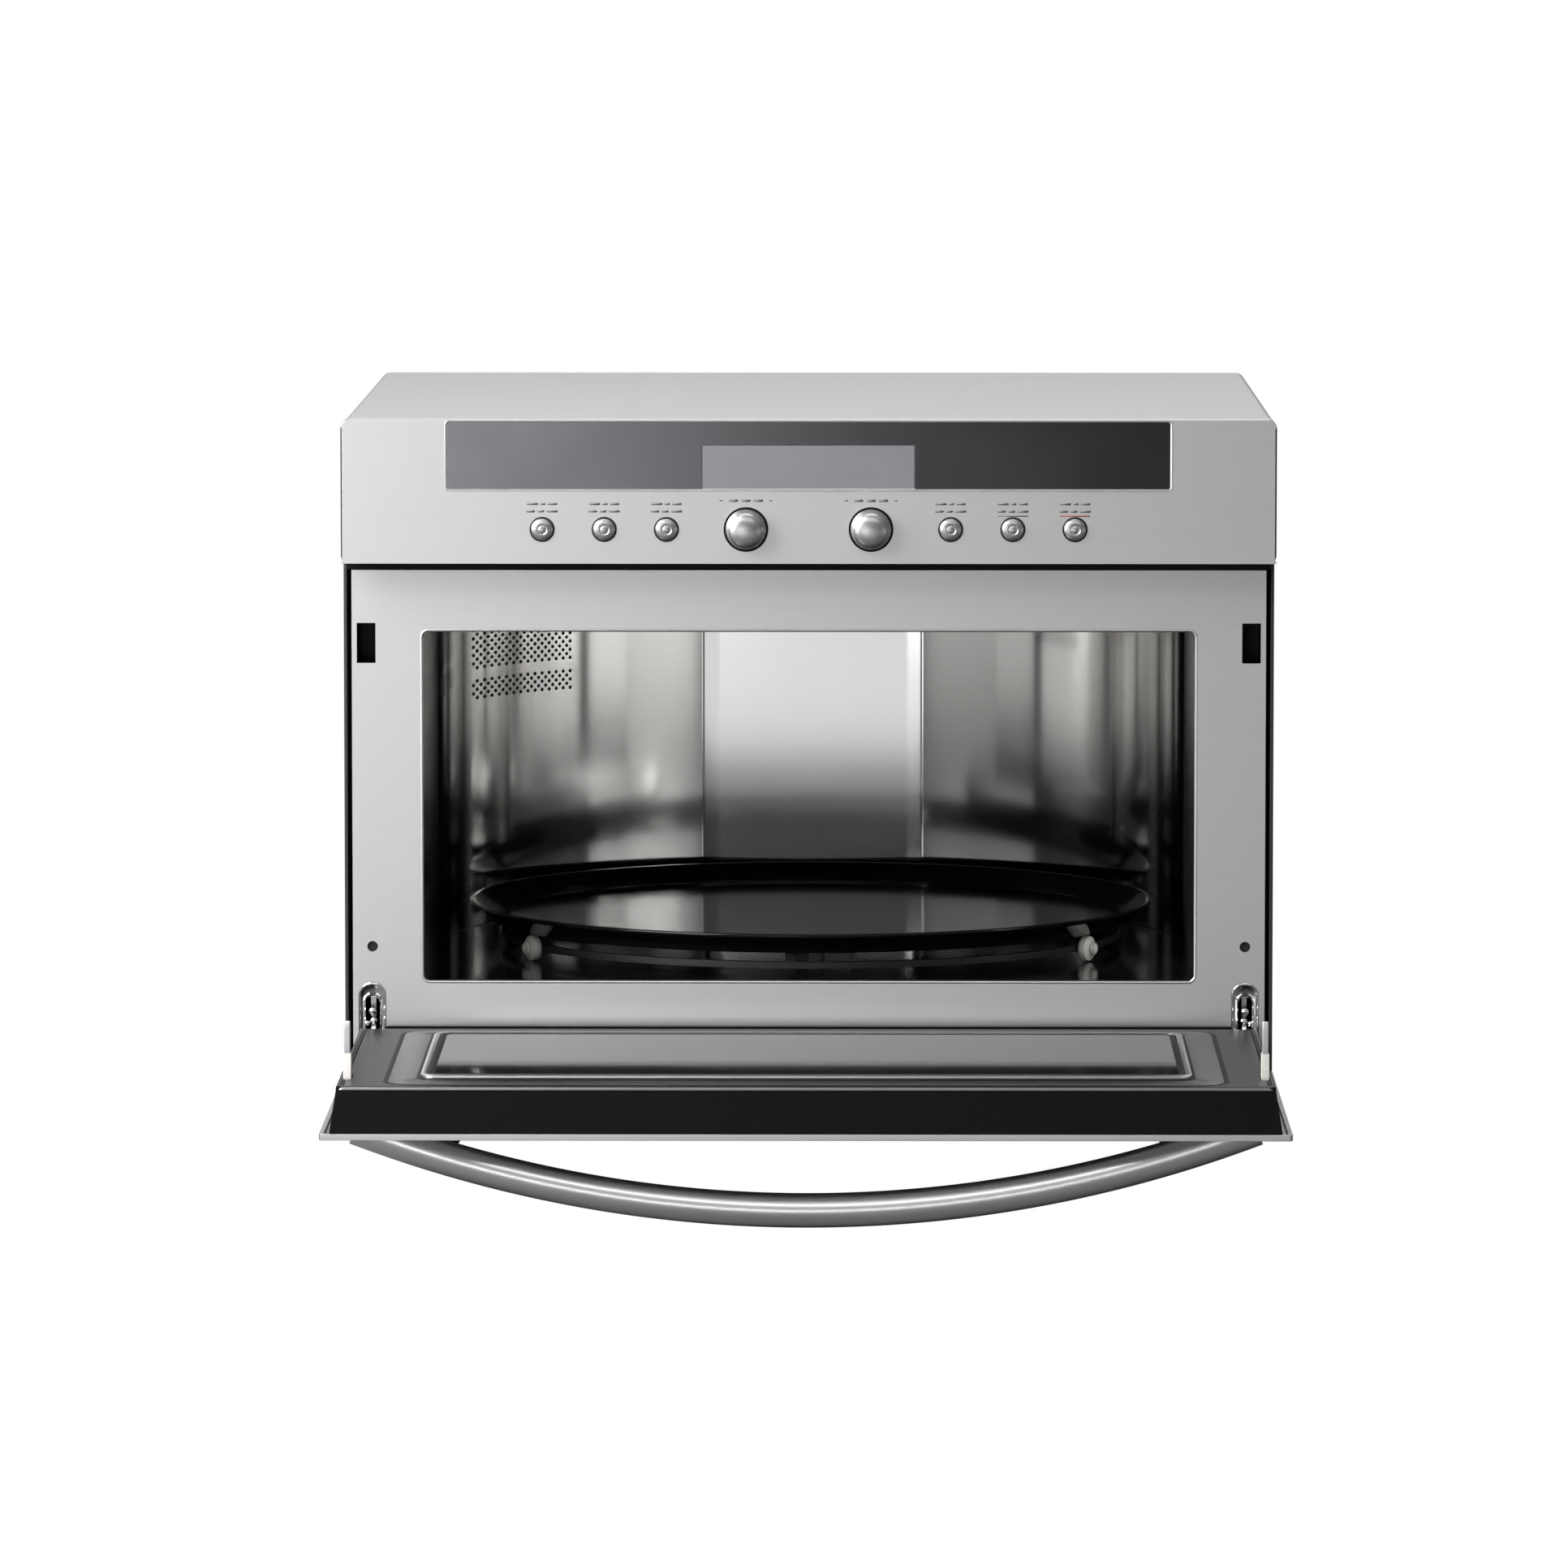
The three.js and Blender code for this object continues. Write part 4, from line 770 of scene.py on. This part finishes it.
def make_fascia():
    """Fascia with drawn-in, well rounded ends, tighter rounds along its edges, and a painted highlight on
    its top.
    """
    bm = cad_copy("control_fascia")
    merge_flats(bm)
    for vert in bm.verts:
        if abs(vert.co.x) > FASCIA_HIGH.x - 0.01 * MM:
            vert.co.x -= math.copysign(END_INSET * MM, vert.co.x)
    highlight_band_end = FASCIA_LOW.y + HIGHLIGHT_BAND_DEPTH * MM
    cut(bm, (0, highlight_band_end, 0), (0, 1, 0))
    bm.normal_update()
    for face in bm.faces:
        centre = face.calc_center_median()
        # painted highlight: faces at the front of the top take the near-white second material
        if face.normal.z > 0.9 and centre.z > FASCIA_HIGH.z - 0.1 * MM and centre.y < highlight_band_end:
            face.material_index = 1
    weights = bm.edges.layers.float.new("bevel_weight_edge")
    for edge in bm.edges:
        if is_hard(edge):
            edge[weights] = fascia_weight(edge)
    piece = finish_piece(bm, "fascia_shape", "control_fascia")
    piece.data.materials.append(PAINTED_HIGHLIGHT_TOP)
    mod = piece.modifiers.new("rounds", "BEVEL")
    mod.limit_method = "WEIGHT"
    mod.width = FASCIA_ROUND * MM
    mod.segments = 4
    mod.use_clamp_overlap = True
    even_shading(piece)


def make_shadow_edges():
    """Painted shade: a dark line round the fascia's ends and along the cover's front edges."""
    low, high = FASCIA_LOW / MM, FASCIA_HIGH / MM
    bottom, top = low.z + SHADOW_DROP, high.z - SHADOW_DROP
    loops = [front_loop(low.x + inset, high.x - inset, bottom + inset, top - inset, SHADOW_CORNER - inset,
                        FASCIA_LOW.y + depth * MM) for inset, depth in SHADOW_PROFILE]
    skin("fascia_painted_shade", "control_fascia", loops, "stainless", PAINTED_SHADE_EDGE, smooth=35)
    # painted shade: dark strips down the cover's front edges
    cover_low, cover_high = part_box("wrap_cover")
    outer = cover_high.x - 0.02 * MM
    foot, top = cover_low.z + 0.5 * MM, FASCIA_LOW.z - 0.6 * MM
    for name, side in SIDES:
        path = [(side * (outer - inset * MM), cover_low.y + depth * MM) for inset, depth in EDGE_PROFILE]
        loops = [[Vector((x, y, z)) for x, y in path] for z in (foot, top)]
        skin(f"cover_painted_shade_{name}", "wrap_cover", loops, "stainless", PAINTED_SHADE_EDGE, smooth=35, caps=True)


# ---------------------------------------------------------------- all pieces
SPECIAL = {"control_fascia", "door_inner_glass", "door_inner_panel", "tray", "cavity_rear_wall", "handle",
           "latch_hook_left", "latch_hook_right"}
SPECIAL |= {node for node in NODE_BODY if node.startswith(("knob_", "button_", "roller_"))} - {"roller_ring"}
BEVELS = {"front_frame": 0.3, "door_outer_panel": 0.5, "door_body": 0.7, "display_glass": 0.3,
          "display_window": 0.15, "cord_gland": 0.4}
PLAIN_BEVEL = 0.25


def make_everything():
    make_tray()
    for i in (1, 2, 3):
        make_roller(f"roller_{i}")
        make_roller_cap(f"roller_{i}")
    make_rear_wall()
    make_door_inside()
    make_edge_bead()
    make_handle()
    make_mouth_lip()
    make_fascia()
    make_glass_rim()
    make_shadow_edges()
    for name, side in SIDES:
        make_knob(f"knob_{name}")
        make_hook(name)
        make_hinge_arch(name, side)
        make_hole_cup(name, side)
    for i in range(1, 7):
        make_button(f"button_{i}")
    make_labels()
    for node in NODE_BODY:
        if node not in SPECIAL:
            refined(node, BEVELS.get(node, PLAIN_BEVEL))


# ---------------------------------------------------------------- stage, light and camera
FLOOR_HALF = 30  # metres
FLOOR_DROP = 0.2  # keeps the floor just below the feet
FLOOR_GREY = 0.13
# The world's light along each axis: (axis, direction from, to, strength from, to)
WORLD_PARTS = (("Y", -0.9, 0.5, 0.03, 0.01), ("Z", 0.0, 0.9, 0.0, 0.5), ("X", -1.0, 0.6, 0.08, 0.0))
# (name, place, target, size, watts)
SOFTBOXES = (
    ("left_softbox", (-1.05, -0.8, 0.96), (0, -0.1, 0.28), (0.9, 1.0), 44),
    ("front_high_softbox", (0, -2.3, 1.7), (0, 0, 0.1), (2.2, 0.3), 7),
    ("back_top_softbox", (0, 2.2, 1.7), (0, 0.1, 0.4), (2.2, 0.8), 10.5),
    ("overhead_softbox", (0, -0.15, 2.4), (0, -0.15, 0), (1.6, 0.5), 9),
    ("low_front_strip", (0, -1.75, 0.085), (0, 0, 0.13), (1.5, 0.17), 0.78),
    ("low_left_strip", (-1.5, -1.2, 0.2), (0, 0.1, 0.2), (1.4, 0.4), 2.9),
    ("low_right_strip", (1.5, -1.2, 0.2), (0, 0.1, 0.2), (1.4, 0.4), 1.5),
    ("glass_card", (-0.85, -4.0, 0.17), (-0.3, 0, 0.4), (1.4, 0.34), 11.0),
)
CAMERA_PLACE = (0.0315, FACE - 5.6366, 0.7642)
CAMERA_DOWN = 5.5185  # degrees below level
CAMERA_LEFT = 0.4626  # degrees to the left of straight back
CAMERA_LENS = 229.2


def camera_ray_mix(tree, others, white, output):
    """Shows one shader to the camera and the other to every other ray."""
    mix = tree.nodes.new("ShaderNodeMixShader")
    path = tree.nodes.new("ShaderNodeLightPath")
    link(tree, path, "Is Camera Ray", mix, "Fac")
    tree.links.new(others.outputs[0], mix.inputs[1])
    tree.links.new(white.outputs[0], mix.inputs[2])
    tree.links.new(mix.outputs[0], tree.nodes.new(output).inputs["Surface"])


def make_floor():
    """Floor that is white to the camera and dark grey to every other ray."""
    bm = bmesh.new()
    bmesh.ops.create_grid(bm, x_segments=2, y_segments=2, size=FLOOR_HALF)
    mesh = bpy.data.meshes.new("floor")
    bm.to_mesh(mesh)
    bm.free()
    floor = bpy.data.objects.new("floor", mesh)
    floor.location.z = TABLE - FLOOR_DROP * MM
    bpy.context.scene.collection.objects.link(floor)
    mat = bpy.data.materials.new("floor_white")
    mat.use_nodes = True
    tree = mat.node_tree
    tree.nodes.clear()
    matt = tree.nodes.new("ShaderNodeBsdfDiffuse")
    matt.inputs["Color"].default_value = (FLOOR_GREY, FLOOR_GREY, FLOOR_GREY, 1)
    glow = tree.nodes.new("ShaderNodeEmission")
    glow.inputs["Strength"].default_value = 1.0
    camera_ray_mix(tree, matt, glow, "ShaderNodeOutputMaterial")
    mesh.materials.append(mat)


def make_world():
    """White to the camera; to every other ray dim, brightest overhead, and brighter left and in front."""
    world = bpy.data.worlds.new("studio")
    bpy.context.scene.world = world
    world.use_nodes = True
    tree = world.node_tree
    tree.nodes.clear()
    place = tree.nodes.new("ShaderNodeTexCoord")
    split = tree.nodes.new("ShaderNodeSeparateXYZ")
    link(tree, place, "Generated", split, "Vector")
    total = None
    for axis, start, end, low, high in WORLD_PARTS:
        ramp = tree.nodes.new("ShaderNodeMapRange")
        for key, value in (("From Min", start), ("From Max", end), ("To Min", low), ("To Max", high)):
            ramp.inputs[key].default_value = value
        link(tree, split, axis, ramp, "Value")
        glow = tree.nodes.new("ShaderNodeBackground")
        glow.inputs["Color"].default_value = (1, 1, 1, 1)
        link(tree, ramp, "Result", glow, "Strength")
        if total:
            add = tree.nodes.new("ShaderNodeAddShader")
            tree.links.new(total.outputs[0], add.inputs[0])
            tree.links.new(glow.outputs[0], add.inputs[1])
            total = add
        else:
            total = glow
    white = tree.nodes.new("ShaderNodeBackground")
    white.inputs["Color"].default_value = (1, 1, 1, 1)
    camera_ray_mix(tree, total, white, "ShaderNodeOutputWorld")


def make_lights():
    for name, place, target, size, power in SOFTBOXES:
        data = bpy.data.lights.new(name, "AREA")
        data.shape = "RECTANGLE"
        data.size, data.size_y = size
        data.energy = power
        lamp = bpy.data.objects.new(name, data)
        lamp.location = place
        lamp.rotation_euler = (Vector(target) - Vector(place)).to_track_quat("-Z", "Y").to_euler()
        bpy.context.scene.collection.objects.link(lamp)


def make_camera():
    data = bpy.data.cameras.new("camera")
    data.lens = CAMERA_LENS
    data.sensor_width = 36
    data.clip_end = 60
    camera = bpy.data.objects.new("camera", data)
    camera.location = CAMERA_PLACE
    camera.rotation_euler = (math.radians(90 - CAMERA_DOWN), 0, math.radians(CAMERA_LEFT))
    bpy.context.scene.collection.objects.link(camera)
    bpy.context.scene.camera = camera


make_everything()
make_floor()
make_world()
make_lights()
make_camera()
bpy.context.scene.view_settings.view_transform = "Standard"
